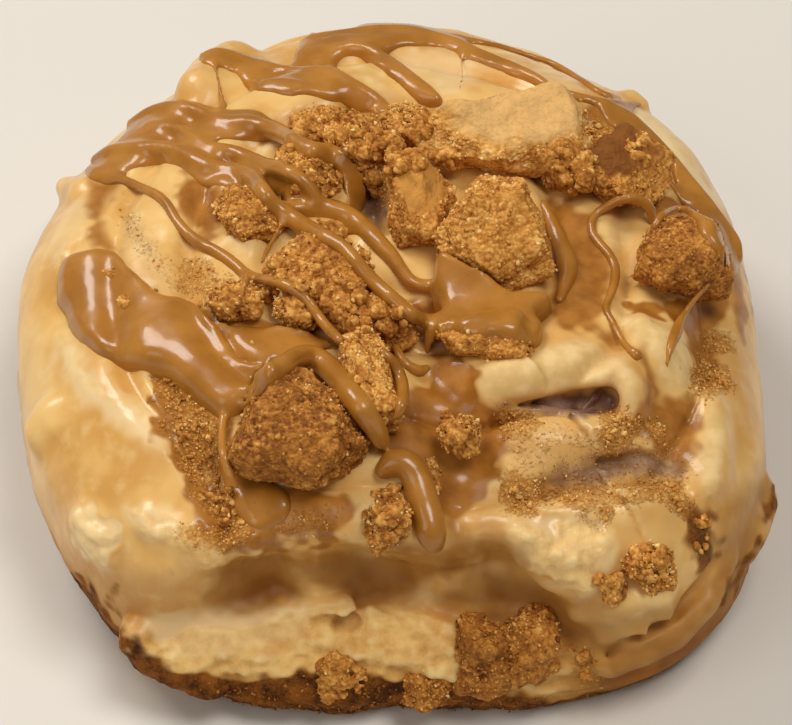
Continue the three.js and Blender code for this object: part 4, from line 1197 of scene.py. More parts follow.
def crumbly(points, faces, seed, smooth=0, looser=0, grainSize=0.78, lumpy=usualLumpy["crumb"]):
    # Gives the points their relief and a shade from 0 to 1. The baked face stays smoother.
    warped = points + 0.22 * np.stack([noise(points, 0.5, seed + axis) for axis in (31, 32, 33)], axis=1)
    loose = np.maximum(looser, smoothStep(-0.2, 0.5, noise(points, 3.5, seed + 8)))
    pits = smoothStep(0.5, 0.9, noise(points, 2.6, seed + 5))
    ragged = noise(points, 0.4, seed + 15) + 0.8 * noise(points, 1.3, seed + 16)
    # Raised places painted lighter and pits painted darker
    rise, shade = (crumbTexture["ragged"][k] * ragged + crumbTexture["pits"][k] * pits for k in (0, 1))
    shade = crumbTexture["middle"] + shade
    for kind in crumbGrains:
        away, tone = grainField(warped, kind["size"] * grainSize, seed + kind["salt"])
        rise = rise + mixed(*kind["rise"], loose) * (kind["level"] - away)
        shade = shade + mixed(*kind["tone"], loose) * (tone - 0.5)
        # Painted light on grain tops and painted shade between them
        shade = shade + mixed(*kind["crest"], loose) * (0.5 - away)
    rise = lumpy * noiseSum(points, 4.5, seed + 3, 4) + (1 - 0.6 * smooth) * rise
    shade = mixed(shade, 0.5 + 0.2 * noise(points, 1.5, seed), 0.7 * smooth)
    return points + normalsOf(points, faces) * rise[:, None], np.clip(shade, 0, 1)


bakedEdge = {"lean": (0.14, 0.36), "broad": (0.2, 6), "fine": (0.12, 1.4), "from": (0.58, 0.78)}


def bakedFace(points, ways, seed):
    # The smooth top of a piece, with a ragged edge
    lie = ways[:, 2] + bakedEdge["lean"][1] * ways[:, 1] + bakedEdge["lean"][0] * ways[:, 0]
    (broad, broadSize), (fine, fineSize) = bakedEdge["broad"], bakedEdge["fine"]
    lie = lie + broad * noiseSum(points, broadSize, seed + 2) + fine * noise(points, fineSize, seed + 4)
    return smoothStep(*bakedEdge["from"], lie)


# The broken crumb's colours by its shade, and the baked faces' own
biscuitColours = {
    "broken": (
        (0, (0.13, 0.036, 0.004)),
        (0.25, (0.31, 0.106, 0.012)),
        (0.5, (0.54, 0.225, 0.036)),
        (0.75, (0.78, 0.42, 0.105)),
        (1, (0.95, 0.68, 0.29)),
    ),
    "faces": {
        None: (0.5, 0.22, 0.055),
        "pale": (0.77, 0.46, 0.165),
        "golden": (0.62, 0.285, 0.054),
        "dark": (0.25, 0.084, 0.010),
    },
    "blotch": 0.82,
    "speck": (0.6, 0.48, 0.36),
}
biscuitGloss = {
    "Specular_IOR_Level": 0.3,
    "Subsurface_Weight": 0.08,
    "Subsurface_Radius": (1, 0.5, 0.2),
    "Subsurface_Scale": 0.0012,
}


def biscuitFinish(top):
    graph = Graph("biscuit_" + top + "_face" if top else "biscuit_broken")
    face = biscuitColours["faces"][top]
    coarse, fine = graph.noise(3.5, 2, shift=4), graph.noise(0.3, 3)
    shade = graph.attribute("shade") + 0.3 * (fine - 0.5) + 0.25 * (coarse - 0.5)
    broken = graph.node("ShaderNodeValToRGB", {"stops": biscuitColours["broken"]}, {"Fac": shade})
    blotch = graph.step(0.35, 0.7, graph.noise(2.6, 4, shift=7))
    speckled = graph.mix(blotch, face, tuple(biscuitColours["blotch"] * part for part in face))
    speck = graph.step(0.45, 0.7, graph.noise(0.7, 4, shift=15)) * 0.28
    speckled = graph.mix(speck, speckled, speckled * biscuitColours["speck"])
    shades = graph.mix(graph.attribute("face"), broken, speckled)
    height = 0.6 * graph.noise(0.3, 3, shift=2) + 0.4 * (1 - graph.grains(0.45))
    return graph.finish(Base_Color=shades, Roughness=0.7 + 0.2 * graph.noise(0.8, 2),
                        Normal=graph.bump(height, 0.15, 0.8), **biscuitGloss)


biscuitFinishes = {top: biscuitFinish(top) for top in biscuitColours["faces"]}

# Where loose grains may lie on broken faces: points, directions, shares by each point's area, and shades.
# Faces that look down hold none.
brokenSurfaces = []
heldFrom = (-0.3, 0.2)
heldShare = {"biscuit": 1 / 25, "crumb": 1.6}
usualDetail = {"biscuit": 7, "crumb": 6}


def addBroken(points, faces, pointArea, shade):
    directions = normalsOf(points, faces)
    brokenSurfaces.append((points, directions, pointArea * smoothStep(*heldFrom, directions[:, 2]), shade))


print("biscuits")
balls = {detail: ball(detail) for detail in (1, 2, 5, 6, 7)}
biscuitPieces = []
for biscuit in biscuits:
    ways, faces = balls[usualDetail["biscuit"]]
    shaped = biscuitShape(biscuit, ways)
    smooth = bakedFace(shaped, ways, biscuit["seed"]) if biscuit.get("top") else np.zeros(len(ways))
    lumpy = biscuit.get("lumpy", usualLumpy["biscuit"])
    shaped, shade = crumbly(shaped, faces, biscuit["seed"], smooth, lumpy=lumpy)
    shade = shade + biscuit.get("tone", 0)
    piece = meshObject(biscuit["name"] + "_baked", shaped, faces)
    paint(piece, shade=shade, face=smooth)
    piece.data.materials.append(biscuitFinishes[biscuit.get("top")])
    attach(piece, "root")
    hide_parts(biscuit["name"])
    biscuitPieces.append(piece)
    addBroken(shaped, faces, (1 - smooth) * max(biscuit["size"]) * heldShare["biscuit"], shade)

crumbPoints, crumbFaces, crumbShade = [], [], []
for crumb in crumbs:
    ways, faces = balls[crumb.get("detail", usualDetail["crumb"])]
    shaped, shade = crumbly(biscuitShape(crumb, ways), faces, crumb["seed"])
    shade = shade + crumb.get("tone", 0)
    crumbFaces.append(faces + sum(map(len, crumbPoints)))
    addBroken(shaped, faces, heldShare["crumb"] * len(balls[usualDetail["crumb"]][0]) / len(ways), shade)
    crumbPoints.append(shaped)
    crumbShade.append(shade)
crumbPiece = meshObject("biscuit_crumbs", np.vstack(crumbPoints), np.vstack(crumbFaces))
paint(crumbPiece, shade=np.concatenate(crumbShade), face=np.zeros(sum(map(len, crumbShade))))
crumbPiece.data.materials.append(biscuitFinishes[None])
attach(crumbPiece, "root")


def pointsOf(piece):
    points = np.empty(len(piece.data.vertices) * 3, np.float32)
    piece.data.vertices.foreach_get("co", points)
    return points.reshape(-1, 3).astype(float) / millimetre


# The heights of everything so far and of the dough alone, and smoother ones that the sauce lies on
ground = HeightMap()
doughOnly = HeightMap()
doughOnly.add(pointsOf(doughPiece))
doughOnly.close()
for piece in [doughPiece, crumbPiece] + biscuitPieces:
    ground.add(pointsOf(piece))
ground.close()
soft = ground.blurred(6)
softDough = doughOnly.blurred(3)
taut = ground.blurred(150)

# Cookie butter. A strand's points are pixels with its width there, in pixels too. A sheet is an outline in
# pixels, with its thickness and the reach of its round edge in millimetres. What is "under" lies behind the
# biscuits, a "taut" sheet spans what is below it, and a "whole" one isn't cut off where a biscuit hides it.
sauce = {
    "step": 0.4,
    "low": (-60, -58, 12),
    "size": (118, 122, 40),
    "blend": 0.9,
    "sheetBlend": 1,
    "rimShare": 0.945,
    "rimWaver": 1.6,
    "rimBlend": 2,
    "waver": {"size": 3, "edge": 0.25, "top": 0.1, "rim": 8},
    "lowest": 0.8,
    "bottom": 1.2,
    "sides": {"slope": 0.8, "reach": 3},
    "hidden": {"step": 0.8, "farthest": 16, "over": 0.4, "onDough": 1},
    "gap": 0.1,
    "sunk": 0.15,
    "slack": 40,
    "strands": (
        {"route": ((90, 170, 9), (118, 178, 10), (142, 188, 10), (158, 196, 11), (168, 206, 11),
            (176, 220, 11), (188, 234, 12), (203, 245, 13), (220, 254, 13), (234, 264, 13), (246, 275, 13),
            (260, 279, 11), (276, 282, 11), (292, 288, 12), (306, 298, 12), (316, 312, 11), (326, 326, 11),
            (340, 340, 10))},
        {"route": ((247, 276, 9), (243, 288, 7), (234, 297, 5))},
        {"route": ((284, 217, 5), (277, 232, 6), (269, 247, 6), (262, 262, 5))},
        {"route": ((96, 160, 12), (112, 152, 16), (135, 150, 18), (160, 149, 18), (182, 154, 18),
            (200, 164, 20), (218, 172, 22), (238, 174, 22), (252, 178, 20), (262, 190, 17), (273, 204, 17),
            (290, 217, 18), (308, 229, 19), (326, 238, 17), (342, 247, 15), (354, 259, 15), (366, 274, 15),
            (380, 288, 15), (394, 300, 15), (406, 310, 14), (418, 318, 14), (432, 322, 14))},
        {"route": ((284, 207, 12), (302, 208, 15), (322, 207, 16), (340, 211, 18), (354, 220, 20),
            (367, 232, 20), (380, 245, 19), (392, 258, 17), (400, 269, 15), (410, 281, 14), (422, 286, 14),
            (436, 286, 14))},
        {"route": ((216, 150, 16), (234, 154, 18), (250, 160, 18), (266, 166, 17), (282, 170, 16),
            (298, 177, 15), (310, 188, 14), (317, 200, 13))},
        {"route": ((132, 124, 12), (150, 113, 14), (170, 108, 15), (192, 110, 15), (210, 118, 14),
            (226, 124, 16), (246, 124, 18), (262, 127, 18), (278, 133, 18), (293, 141, 18), (308, 150, 20),
            (326, 154, 22))},
        {"route": ((150, 126, 10), (172, 128, 12), (190, 135, 12), (204, 146, 12), (216, 156, 12))},
        {"route": ((204, 57, 11), (218, 54, 13), (236, 58, 12), (256, 65, 12), (276, 70, 12), (300, 72, 12),
            (322, 72, 12), (340, 78, 12), (356, 87, 12), (371, 96, 11), (385, 106, 9))},
        {"route": ((248, 83, 6), (268, 84, 9), (290, 85, 10), (306, 90, 10), (322, 93, 8), (336, 97, 6))},
        {"route": ((214, 64, 4), (218, 80, 4), (221, 94, 5), (224, 106, 6))},
        {"under": True, "route": ((306, 42, 10), (318, 38, 11), (345, 35, 12), (375, 32, 13), (405, 32, 13),
            (432, 37, 12), (456, 44, 11), (476, 52, 11), (498, 61, 11), (518, 69, 11), (536, 78, 11),
            (549, 88, 11), (562, 93, 11), (578, 98, 12), (598, 103, 13), (616, 106, 12), (632, 105, 8),
            (641, 104, 4))},
        {"under": True, "route": ((456, 38, 9), (480, 43, 9), (504, 48, 8), (530, 56, 7), (550, 62, 7),
            (566, 71, 8), (582, 81, 8), (600, 93, 9), (616, 99, 9))},
        {"under": True, "route": ((338, 52, 9), (352, 48, 11), (368, 50, 12), (384, 58, 12), (398, 68, 13),
            (412, 79, 13), (426, 90, 13), (436, 99, 11))},
        {"under": True, "route": ((462, 50, 3), (462, 66, 3), (461, 84, 3), (458, 94, 3))},
        {"under": True, "route": ((606, 108, 12), (628, 117, 13), (645, 131, 12), (662, 149, 12),
            (678, 168, 12), (694, 187, 12), (709, 206, 13), (722, 224, 14), (734, 243, 15), (738, 258, 11))},
        {"route": ((262, 378, 16), (280, 367, 18), (296, 358, 21), (312, 357, 23), (326, 366, 23),
            (340, 381, 23), (353, 397, 23), (365, 413, 23), (375, 428, 21), (381, 440, 17))},
        {"route": ((383, 352, 9), (394, 364, 12), (401, 380, 13), (403, 396, 13), (400, 410, 11),
            (395, 418, 6))},
        {"route": ((396, 347, 8), (401, 358, 10), (409, 367, 11), (419, 371, 11), (427, 368, 8))},
        {"route": ((384, 470, 18), (395, 463, 26), (408, 466, 28), (417, 480, 28), (422, 497, 29),
            (427, 515, 30), (431, 532, 29), (434, 543, 20))},
        {"route": ((228, 408, 10), (223, 422, 9), (222, 440, 9), (224, 456, 9), (229, 472, 9),
            (236, 486, 7))},
        {"route": ((543, 204, 9), (549, 217, 13), (555, 231, 17), (562, 247, 17), (567, 262, 21),
            (568, 275, 18), (564, 288, 13), (560, 300, 9))},
        {"route": ((653, 220, 10), (650, 209, 11), (643, 202, 11), (631, 198, 11), (619, 200, 10),
            (608, 206, 10), (598, 212, 9), (592, 221, 9), (592, 232, 9), (600, 244, 10), (609, 255, 11),
            (615, 267, 10), (615, 280, 10), (611, 294, 9), (606, 309, 8), (613, 323, 8), (622, 340, 7),
            (630, 350, 9), (636, 355, 13))},
        {"route": ((655, 226, 9), (662, 216, 10), (674, 210, 9), (686, 210, 8), (698, 217, 8),
            (712, 226, 9))},
        {"route": ((709, 284, 5), (697, 297, 6), (688, 308, 7), (681, 319, 9), (676, 333, 12),
            (671, 345, 10), (668, 358, 6), (667, 366, 4))},
    ),
    "sheets": (
        {"thick": 2.2, "edge": 1.8, "outline": ((79, 251), (61, 259), (55, 277), (57, 296), (65, 312),
            (73, 329), (90, 345), (110, 356), (129, 363), (149, 367), (168, 373), (184, 384), (200, 400),
            (216, 411), (233, 409), (246, 399), (262, 386), (280, 371), (272, 362), (250, 362), (236, 352),
            (226, 336), (212, 318), (200, 305), (181, 297), (168, 295), (155, 288), (142, 277), (129, 264),
            (116, 251), (94, 248))},
        {"thick": 1.9, "edge": 1.5, "taut": True, "outline": ((437, 252), (453, 254), (465, 261), (480, 267),
            (490, 275), (503, 284), (516, 290), (531, 290), (546, 293), (552, 299), (549, 306), (538, 312),
            (543, 324), (541, 337), (532, 342), (519, 340), (493, 337), (468, 334), (451, 330), (438, 333),
            (426, 330), (430, 316), (441, 309), (441, 298), (433, 283), (436, 267))},
        {"thick": 0.7, "edge": 1.5, "outline": ((86, 172), (100, 158), (118, 138), (134, 118), (152, 107),
            (163, 101), (175, 99), (190, 100), (203, 103), (216, 107), (235, 107), (248, 107), (258, 109),
            (268, 115), (285, 124), (294, 132), (305, 143), (318, 142), (332, 143), (344, 147), (354, 157),
            (363, 167), (367, 180), (366, 192), (362, 204), (358, 213), (350, 207), (346, 195), (343, 182),
            (341, 172), (333, 163), (322, 158), (311, 154), (298, 147), (284, 141), (270, 137), (256, 138),
            (236, 139), (220, 138), (216, 144), (234, 146), (250, 150), (266, 158), (284, 164), (300, 172),
            (312, 180), (322, 196), (342, 200), (354, 208), (364, 218), (352, 232), (338, 222), (320, 216),
            (300, 214), (284, 214), (268, 204), (256, 192), (246, 186), (232, 187), (212, 185), (198, 180),
            (188, 173), (178, 165), (163, 160), (150, 162), (137, 168), (125, 173), (112, 182), (96, 180))},
        {"thick": 0.9, "edge": 1.4, "outline": ((200, 60), (208, 50), (218, 47), (232, 47), (246, 51),
            (263, 55), (282, 64), (296, 62), (318, 62), (335, 66), (352, 76), (366, 84), (378, 92),
            (387, 102), (391, 109), (381, 112), (368, 108), (355, 106), (342, 99), (327, 98), (310, 94),
            (287, 93), (268, 90), (255, 88), (243, 80), (237, 71), (227, 67), (213, 63))},
        {"under": True, "thick": 1, "edge": 1.4, "outline": ((294, 66), (298, 45), (306, 36), (313, 31),
            (322, 34), (340, 30), (352, 28), (370, 22), (400, 21), (415, 23), (430, 26), (460, 34),
            (474, 44), (490, 56), (510, 64), (530, 72), (545, 80), (556, 90), (552, 94), (540, 84),
            (520, 76), (500, 69), (480, 62), (463, 56), (452, 48), (430, 44), (405, 44), (392, 49),
            (386, 56), (398, 64), (415, 77), (430, 89), (442, 100), (432, 104), (420, 101), (408, 90),
            (396, 80), (384, 70), (372, 62), (360, 55), (348, 53), (340, 58), (330, 66), (312, 66))},
        {"under": True, "thick": 0.9, "edge": 1.5, "outline": ((598, 100), (618, 98), (634, 110), (645, 123),
            (660, 138), (675, 155), (690, 172), (704, 188), (718, 204), (728, 218), (738, 232), (746, 246),
            (747, 256), (741, 266), (735, 274), (728, 266), (724, 252), (718, 238), (706, 226), (697, 214),
            (686, 203), (676, 190), (666, 178), (656, 164), (644, 150), (632, 138), (618, 128), (604, 118))},
        {"thick": 0.8, "edge": 1.4, "outline": ((698, 214), (712, 220), (726, 236), (736, 254), (733, 268),
            (722, 262), (712, 244), (700, 232))},
        {"under": True, "thick": 0.9, "edge": 1.7, "whole": True, "outline": ((219, 440), (226, 452),
            (236, 466), (252, 474), (272, 480), (288, 492), (290, 508), (282, 522), (268, 530), (252, 526),
            (240, 514), (230, 498), (222, 478), (218, 458))},
        {"thick": 0.7, "edge": 1.6, "outline": ((212, 318), (240, 325), (272, 324), (306, 328), (332, 342),
            (318, 352), (298, 356), (278, 368), (256, 364), (238, 354), (226, 336))},
    ),
}


def slackened(route, heightAt):
    # Each point stays on its own sight line; between high places the strand hangs free of the surface
    path = rounded(route, 4)
    reach, ways = seenOn(path, heightAt)
    free = reach - sauce["gap"]
    for _ in range(sauce["slack"]):
        free[1:-1] = 0.5 * free[1:-1] + 0.25 * (free[2:] + free[:-2])
        free = np.minimum(free, reach)
    radius = path[:, 2] * pixelSize / 2
    places = cameraPlace + (free - sauce["sunk"] * radius)[:, None] * ways
    share = np.hypot(places[:, 0], places[:, 1]) / outlineRadius(np.arctan2(places[:, 1], places[:, 0]))
    places[:, :2] *= np.minimum(1, (sauce["rimShare"] + 0.01) / share)[:, None]
    return np.column_stack([places, radius])


def clearOf(x, y, level):
    # How far each place is from being hidden by a biscuit in the photograph, negative where it is hidden
    clear, hidden = np.full(np.shape(x), float(farAway)), sauce["hidden"]
    toCamera = -sightForward / sightForward[1]
    for away in np.arange(hidden["step"], hidden["farthest"], hidden["step"]):
        px, py, pz = x, y - away, level + away * toCamera[2]
        over = ground.at(px, py)
        onDough = doughOnly.at(px, py) + hidden["onDough"]
        clear = np.minimum(clear, np.maximum(pz + hidden["over"] - over, onDough - over))
    return clear


def sauceField():
    grid = low, step, shape = gridOf(sauce)
    xs, ys, zs = (low[i] + np.arange(shape[i]) * step for i in range(3))
    x, y = np.meshgrid(xs, ys, indexing="ij")
    flat = np.stack([x.ravel(), y.ravel(), np.zeros(x.size)], axis=1)
    waver = noiseSum(flat, sauce["waver"]["size"], 21).reshape(x.shape)
    rim = outlineRadius(np.arctan2(y, x)) * sauce["rimShare"] - np.hypot(x, y)
    rim = rim + sauce["rimWaver"] * noise(flat, sauce["waver"]["rim"], 24).reshape(x.shape)
    level = ground.at(x, y)
    clear = clearOf(x, y, level)
    field = np.full(shape, farAway, np.float32)
    for sheet in sauce["sheets"]:
        under = doughOnly.at(x, y) if sheet.get("under") else level
        base = softDough if sheet.get("under") else taut if sheet.get("taut") else soft
        smooth = np.maximum(base.at(x, y), under - sauce["lowest"])
        u, v = pixelOf(x, y, smooth + 0.5 * sheet["thick"])
        outline = [tuple(p) for p in rounded(sheet["outline"], 4, closed=True)]
        inward = -pixelSize * polygonDistance(u, v, outline) + sauce["waver"]["edge"] * waver
        inward = inward if sheet.get("taut") or sheet.get("whole") else np.minimum(inward, clear)
        inward = smoothMin(inward, rim, sauce["rimBlend"])
        t = np.clip(inward / sheet["edge"], 0, 1)
        top = smooth + sheet["thick"] * np.sqrt(np.maximum(0, 1 - (1 - t) ** 2))
        top, bottom = top + sauce["waver"]["top"] * waver, under - sauce["bottom"]
        columns = np.nonzero(inward > -sauce["sides"]["reach"])
        aside = -inward * sauce["sides"]["slope"]
        first, last = (slice(a.min(), a.max() + 1) for a in columns)
        for k, z in enumerate(zs):
            slab = np.maximum(np.maximum(z - top, bottom - z), aside)[first, last]
            field[first, last, k] = smoothMin(field[first, last, k], slab, sauce["sheetBlend"])
    for strand in sauce["strands"]:
        heightAt = doughOnly.at if strand.get("under") else ground.at
        block, nearest = strandField(grid, slackened(strand["route"], heightAt))
        field[block] = smoothMin(field[block], nearest, sauce["blend"])
    return field


print("sauce")
saucePoints, sauceQuads = surfaceOfField(sauceField(), sauce["low"], sauce["step"])
saucePoints = relaxed(saucePoints, sauceQuads, 2)
print("sauce points", len(saucePoints), "quads", len(sauceQuads))
saucePiece = meshObject("cookie_butter", saucePoints, sauceQuads)
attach(saucePiece, "root")


sauceColours = {"butter": ((0.36, 0.14, 0.014), (0.475, 0.202, 0.028)), "speck": (0.20, 0.07, 0.008)}
sauceGloss = {
    "Subsurface_Weight": 0.12,
    "Subsurface_Radius": (1, 0.45, 0.15),
    "Subsurface_Scale": 0.002,
    "Coat_Weight": 0.5,
    "Coat_Roughness": 0.13,
    "Specular_IOR_Level": 0.3,
}


def sauceFinish():
    graph = Graph("cookie_butter")
    cloud = graph.noise(6, 3)
    shades = graph.mix(graph.step(0.3, 0.7, cloud), *sauceColours["butter"])
    ripple = graph.noise(2.2, 2, shift=3)
    speck = graph.step(0.66, 0.74, graph.noise(0.55, 2, shift=11))
    shades = graph.mix(speck * 0.35, shades, sauceColours["speck"])
    return graph.finish(Base_Color=shades, Roughness=0.3 + 0.1 * cloud, Normal=graph.bump(ripple, 0.12, 0.5),
                        **sauceGloss)


saucePiece.data.materials.append(sauceFinish())


# The cinnamon filling between the turns: a thin wet ribbon that shows in the two open seams. Its top lies
# below the dough by its drop, and further down in the open seams and toward its tail.
filling = {
    "half": 0.55,
    "foot": 0.5,
    "cover": 2,
    "drop": 3.4,
    "openTurns": (3.005, 4.005),
    "openReach": 0.07,
    "openDrop": 1.6,
    "tailTurns": (4.05, 4.25),
    "tailDrop": 5,
    "heartGap": 0.1,
    "tailGap": 0.02,
    "lean": (0.5, 5),
    "wave": (0.18, 1.8),
    "round": {"from": 0.9, "slope": 9, "least": 0.02},
    "turnStep": 0.0035,
    "rows": 10,
    "colours": ((0.13, 0.055, 0.032), (0.33, 0.19, 0.13)),
}


def fillingRibbon():
    first, last = winding["heartTurn"] + filling["heartGap"], winding["tailTurn"] - filling["tailGap"]
    turns = np.arange(first, last, filling["turnStep"])
    angle = (turns % 1) * 2 * math.pi + winding["heading"] * degree
    press = smoothStep(winding["tailTurn"] - winding["tailPressTurns"], winding["tailTurn"], turns)
    middle = (winding["share"] * turns + winding["tailPressShare"] * press) * outlineRadius(angle)
    x, y = middle * np.cos(angle), middle * np.sin(angle)
    opened = sum(np.exp(-(((turns - place) / filling["openReach"]) ** 2)) for place in filling["openTurns"])
    top = doughOnly.at(x, y) - filling["drop"] - filling["openDrop"] * opened
    top = top - filling["tailDrop"] * smoothStep(*filling["tailTurns"], turns)
    (lean, leanSize), (wave, waveSize), edge = filling["lean"], filling["wave"], filling["round"]
    lean = lean * noise(np.column_stack([x, y, 0 * x]), leanSize, 71)
    rings = []
    for share in np.linspace(0, 1, filling["rows"]):
        z = mixed(filling["foot"], top, share)
        aside = lean * share + wave * noise(np.column_stack([x, y, z]), waveSize, 72)
        narrower = max(0, share - edge["from"]) * edge["slope"]
        half = filling["half"] * math.sqrt(max(edge["least"], 1 - narrower))
        wall = outlineRadius(angle) * np.interp(z, wholeWall["z"], wholeWall["share"])
        wall = wall - roll["footInset"][2] * bump(angle, *roll["footInset"][:2]) - filling["cover"]
        for side in (-1, 1):
            reach = np.minimum(middle + aside, wall) + side * half
            rings.append(np.column_stack([reach * np.cos(angle), reach * np.sin(angle), z]))
    inner, outer = rings[0::2], rings[1::2]
    around = inner + outer[::-1]
    count, length = len(around), len(turns)
    points = np.stack(around, axis=1).reshape(-1, 3)
    index = np.arange(length * count).reshape(length, count)
    beside = np.roll(index, -1, axis=1)
    quads = np.stack([index[:-1], beside[:-1], beside[1:], index[1:]], axis=-1).reshape(-1, 4)
    caps = []  # the two ends of the ribbon
    for row, atTail in ((index[0], False), (index[-1], True)):
        for k in range(count // 2 - 1):
            quad = (row[k], row[count - 1 - k], row[count - 2 - k], row[k + 1])
            caps.append(quad[::-1] if atTail else quad)
    return points, np.vstack([quads, np.array(caps)])


def fillingFinish():
    graph = Graph("cinnamon_filling")
    mottle = graph.noise(1.6, 4)
    shades = graph.mix(graph.step(0.35, 0.7, mottle), *filling["colours"])
    return graph.finish(Base_Color=shades, Roughness=0.35 + 0.2 * mottle, Normal=graph.bump(mottle, 0.3, 0.7),
                        Coat_Weight=0.3, Coat_Roughness=0.2)


print("filling")
ribbonPoints, ribbonFaces = fillingRibbon()
ribbon = meshObject("cinnamon_filling_ribbon", ribbonPoints, ribbonFaces)
ribbon.data.materials.append(fillingFinish())
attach(ribbon, "root")
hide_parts("cinnamon_filling")


# Loose crumbs, one mesh for each kind, with the smallest and the largest size in millimetres. None lie where
# the surface holds less than "least", and they are "paler" than what they lie on.
grainKinds = (
    {"name": "fine_crumbs", "count": 9800, "detail": 1, "sizes": (0.14, 0.5), "seed": 5, "least": 0.2,
     "paler": 0.06},
    {"name": "coarse_crumbs", "count": 300, "detail": 2, "sizes": (0.4, 1.1), "seed": 6, "least": 0.62,
     "paler": 0.06},
    {"name": "biscuit_grains", "count": 9800, "detail": 1, "sizes": (0.25, 0.72), "seed": 7, "least": 0.4,
     "paler": 0.16},
)


def heapOf(count, smallest, largest, *outline, rise=0):
    # So many lumps of crumb within an outline in the photograph's pixels, raised clear of the surface
    return {"count": count, "sizes": (smallest, largest), "outline": outline, "rise": rise}


heaps = (
    heapOf(44, 0.8, 2, (374, 488), (390, 478), (402, 492), (404, 520), (396, 544), (380, 536), (372, 512)),
    heapOf(36, 0.7, 1.8, (636, 548), (650, 542), (664, 548), (672, 564), (664, 580), (648, 584), (634, 574),
        (630, 560)),
    heapOf(90, 1.2, 3.2, (292, 118), (330, 108), (345, 114), (380, 112), (420, 105), (430, 122), (424, 150),
        (402, 176), (384, 200), (366, 186), (362, 165), (345, 147), (320, 141), (298, 140)),
    heapOf(34, 1, 2.4, (280, 142), (300, 148), (322, 160), (340, 172), (344, 192), (332, 198), (316, 182),
        (296, 168), (280, 160)),
    heapOf(16, 0.8, 1.6, (290, 180), (306, 186), (310, 198), (294, 197)),
    heapOf(40, 0.7, 1.6, (318, 218), (342, 228), (358, 244), (376, 262), (372, 268), (350, 252), (334, 236),
        (316, 226)),
    heapOf(36, 1.1, 2.6, (218, 300), (226, 290), (248, 286), (262, 296), (258, 312), (240, 320), (222, 312)),
    heapOf(26, 0.9, 2, (264, 290), (286, 292), (306, 304), (314, 318), (300, 322), (284, 308), (266, 304)),
    heapOf(60, 1, 2.4, (272, 256), (300, 262), (330, 262), (352, 284), (380, 306), (404, 312), (406, 326),
        (386, 334), (350, 330), (326, 312), (312, 296), (284, 280), (266, 270)),
    heapOf(40, 0.9, 2.2, (386, 152), (430, 150), (470, 158), (462, 170), (430, 166), (400, 172)),
    heapOf(60, 1, 2.6, (548, 140), (576, 146), (592, 160), (590, 188), (572, 192), (552, 180), (540, 160)),
    heapOf(24, 0.9, 2, (628, 130), (650, 140), (654, 160), (640, 166), (626, 150)),
    heapOf(34, 0.6, 1.4, (160, 372), (182, 386), (200, 404), (214, 414), (218, 440), (212, 470), (196, 468),
        (180, 446), (172, 410)),
    heapOf(30, 0.6, 1.5, (208, 474), (224, 480), (240, 506), (246, 520), (232, 534), (216, 516), (204, 492)),
    heapOf(40, 1, 2.2, (600, 580), (618, 576), (622, 596), (606, 604)),
    heapOf(50, 0.9, 2, (442, 412), (456, 416), (464, 430), (478, 436), (478, 452), (460, 458), (446, 446),
        (438, 428)),
    heapOf(34, 0.7, 1.6, (424, 456), (438, 462), (444, 478), (436, 496), (426, 490), (424, 470)),
    heapOf(90, 1, 2.6, (318, 664), (334, 656), (356, 660), (366, 676), (356, 694), (330, 696), (316, 686)),
    heapOf(12, 0.6, 1.2, (690, 520), (706, 514), (712, 534), (706, 560), (694, 560)),
    heapOf(8, 0.6, 1.2, (574, 654), (590, 650), (598, 664), (592, 680), (576, 676)),
    heapOf(7, 1.1, 1.9, (104, 268), (116, 265), (118, 278), (107, 281), rise=2.1),
    heapOf(7, 1.1, 1.9, (117, 298), (130, 295), (132, 307), (120, 311), rise=2.1),
)
heapLumps = {"step": 0.25, "low": (-44, -60, 2), "size": (88, 96, 50), "blend": 0.4, "seed": 17, "tries": 60,
             "half": 0.16, "radii": (0.42, 0.3)}
heapCrumb = {"seed": 140, "looser": 1, "grainSize": 0.7}
grainSpread = {"lift": 0.18, "place": 0.12, "tone": 0.14}
grainForm = {"uneven": 0.3, "most": 1.6, "stretch": (0.55, 1.35)}


def grainMesh(kind, middle, size, tone, drawn):
    # An uneven little ball for each grain, turned and stretched at random
    count = len(size)
    base, faces = balls[kind["detail"]]
    spin = np.linalg.qr(drawn.normal(size=(count, 3, 3)))[0]
    spin *= np.sign(np.linalg.det(spin))[:, None, None]
    uneven = drawn.normal(size=(count, len(base))).clip(-grainForm["most"], grainForm["most"])
    uneven = 1 + grainForm["uneven"] * uneven
    stretch = drawn.uniform(*grainForm["stretch"], (count, 1, 3))
    lumps = np.einsum("nij,nvj->nvi", spin, base[None] * uneven[:, :, None] * stretch)
    lumps = lumps * size[:, None, None] / 2
    allPoints = (lumps + middle[:, None]).reshape(-1, 3)
    allFaces = (faces[None] + (np.arange(count) * len(base))[:, None, None]).reshape(-1, 3)
    return allPoints, allFaces, np.repeat(tone, len(base))


def crumbObject(name, allPoints, allFaces, shade):
    piece = meshObject(name, allPoints, allFaces)
    paint(piece, shade=shade, face=np.zeros(len(allPoints)))
    piece.data.materials.append(biscuitFinishes[None])
    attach(piece, "root")


def scatteredGrains(kind, points, normals, weight, tone):
    drawn = np.random.default_rng(kind["seed"])
    chance = np.where(weight > kind["least"], weight**2, 0)
    chosen = drawn.choice(len(points), kind["count"], p=chance / chance.sum())
    size = mixed(*kind["sizes"], drawn.random(kind["count"]) ** 4)
    middle = points[chosen] + normals[chosen] * (grainSpread["lift"] * size)[:, None]
    middle = middle + drawn.normal(size=(kind["count"], 3)) * grainSpread["place"]
    shade = tone[chosen] + kind["paler"] + drawn.normal(size=kind["count"]) * grainSpread["tone"]
    shade = np.clip(shade, 0, 1)
    crumbObject(kind["name"], *grainMesh(kind, middle, size, shade, drawn))


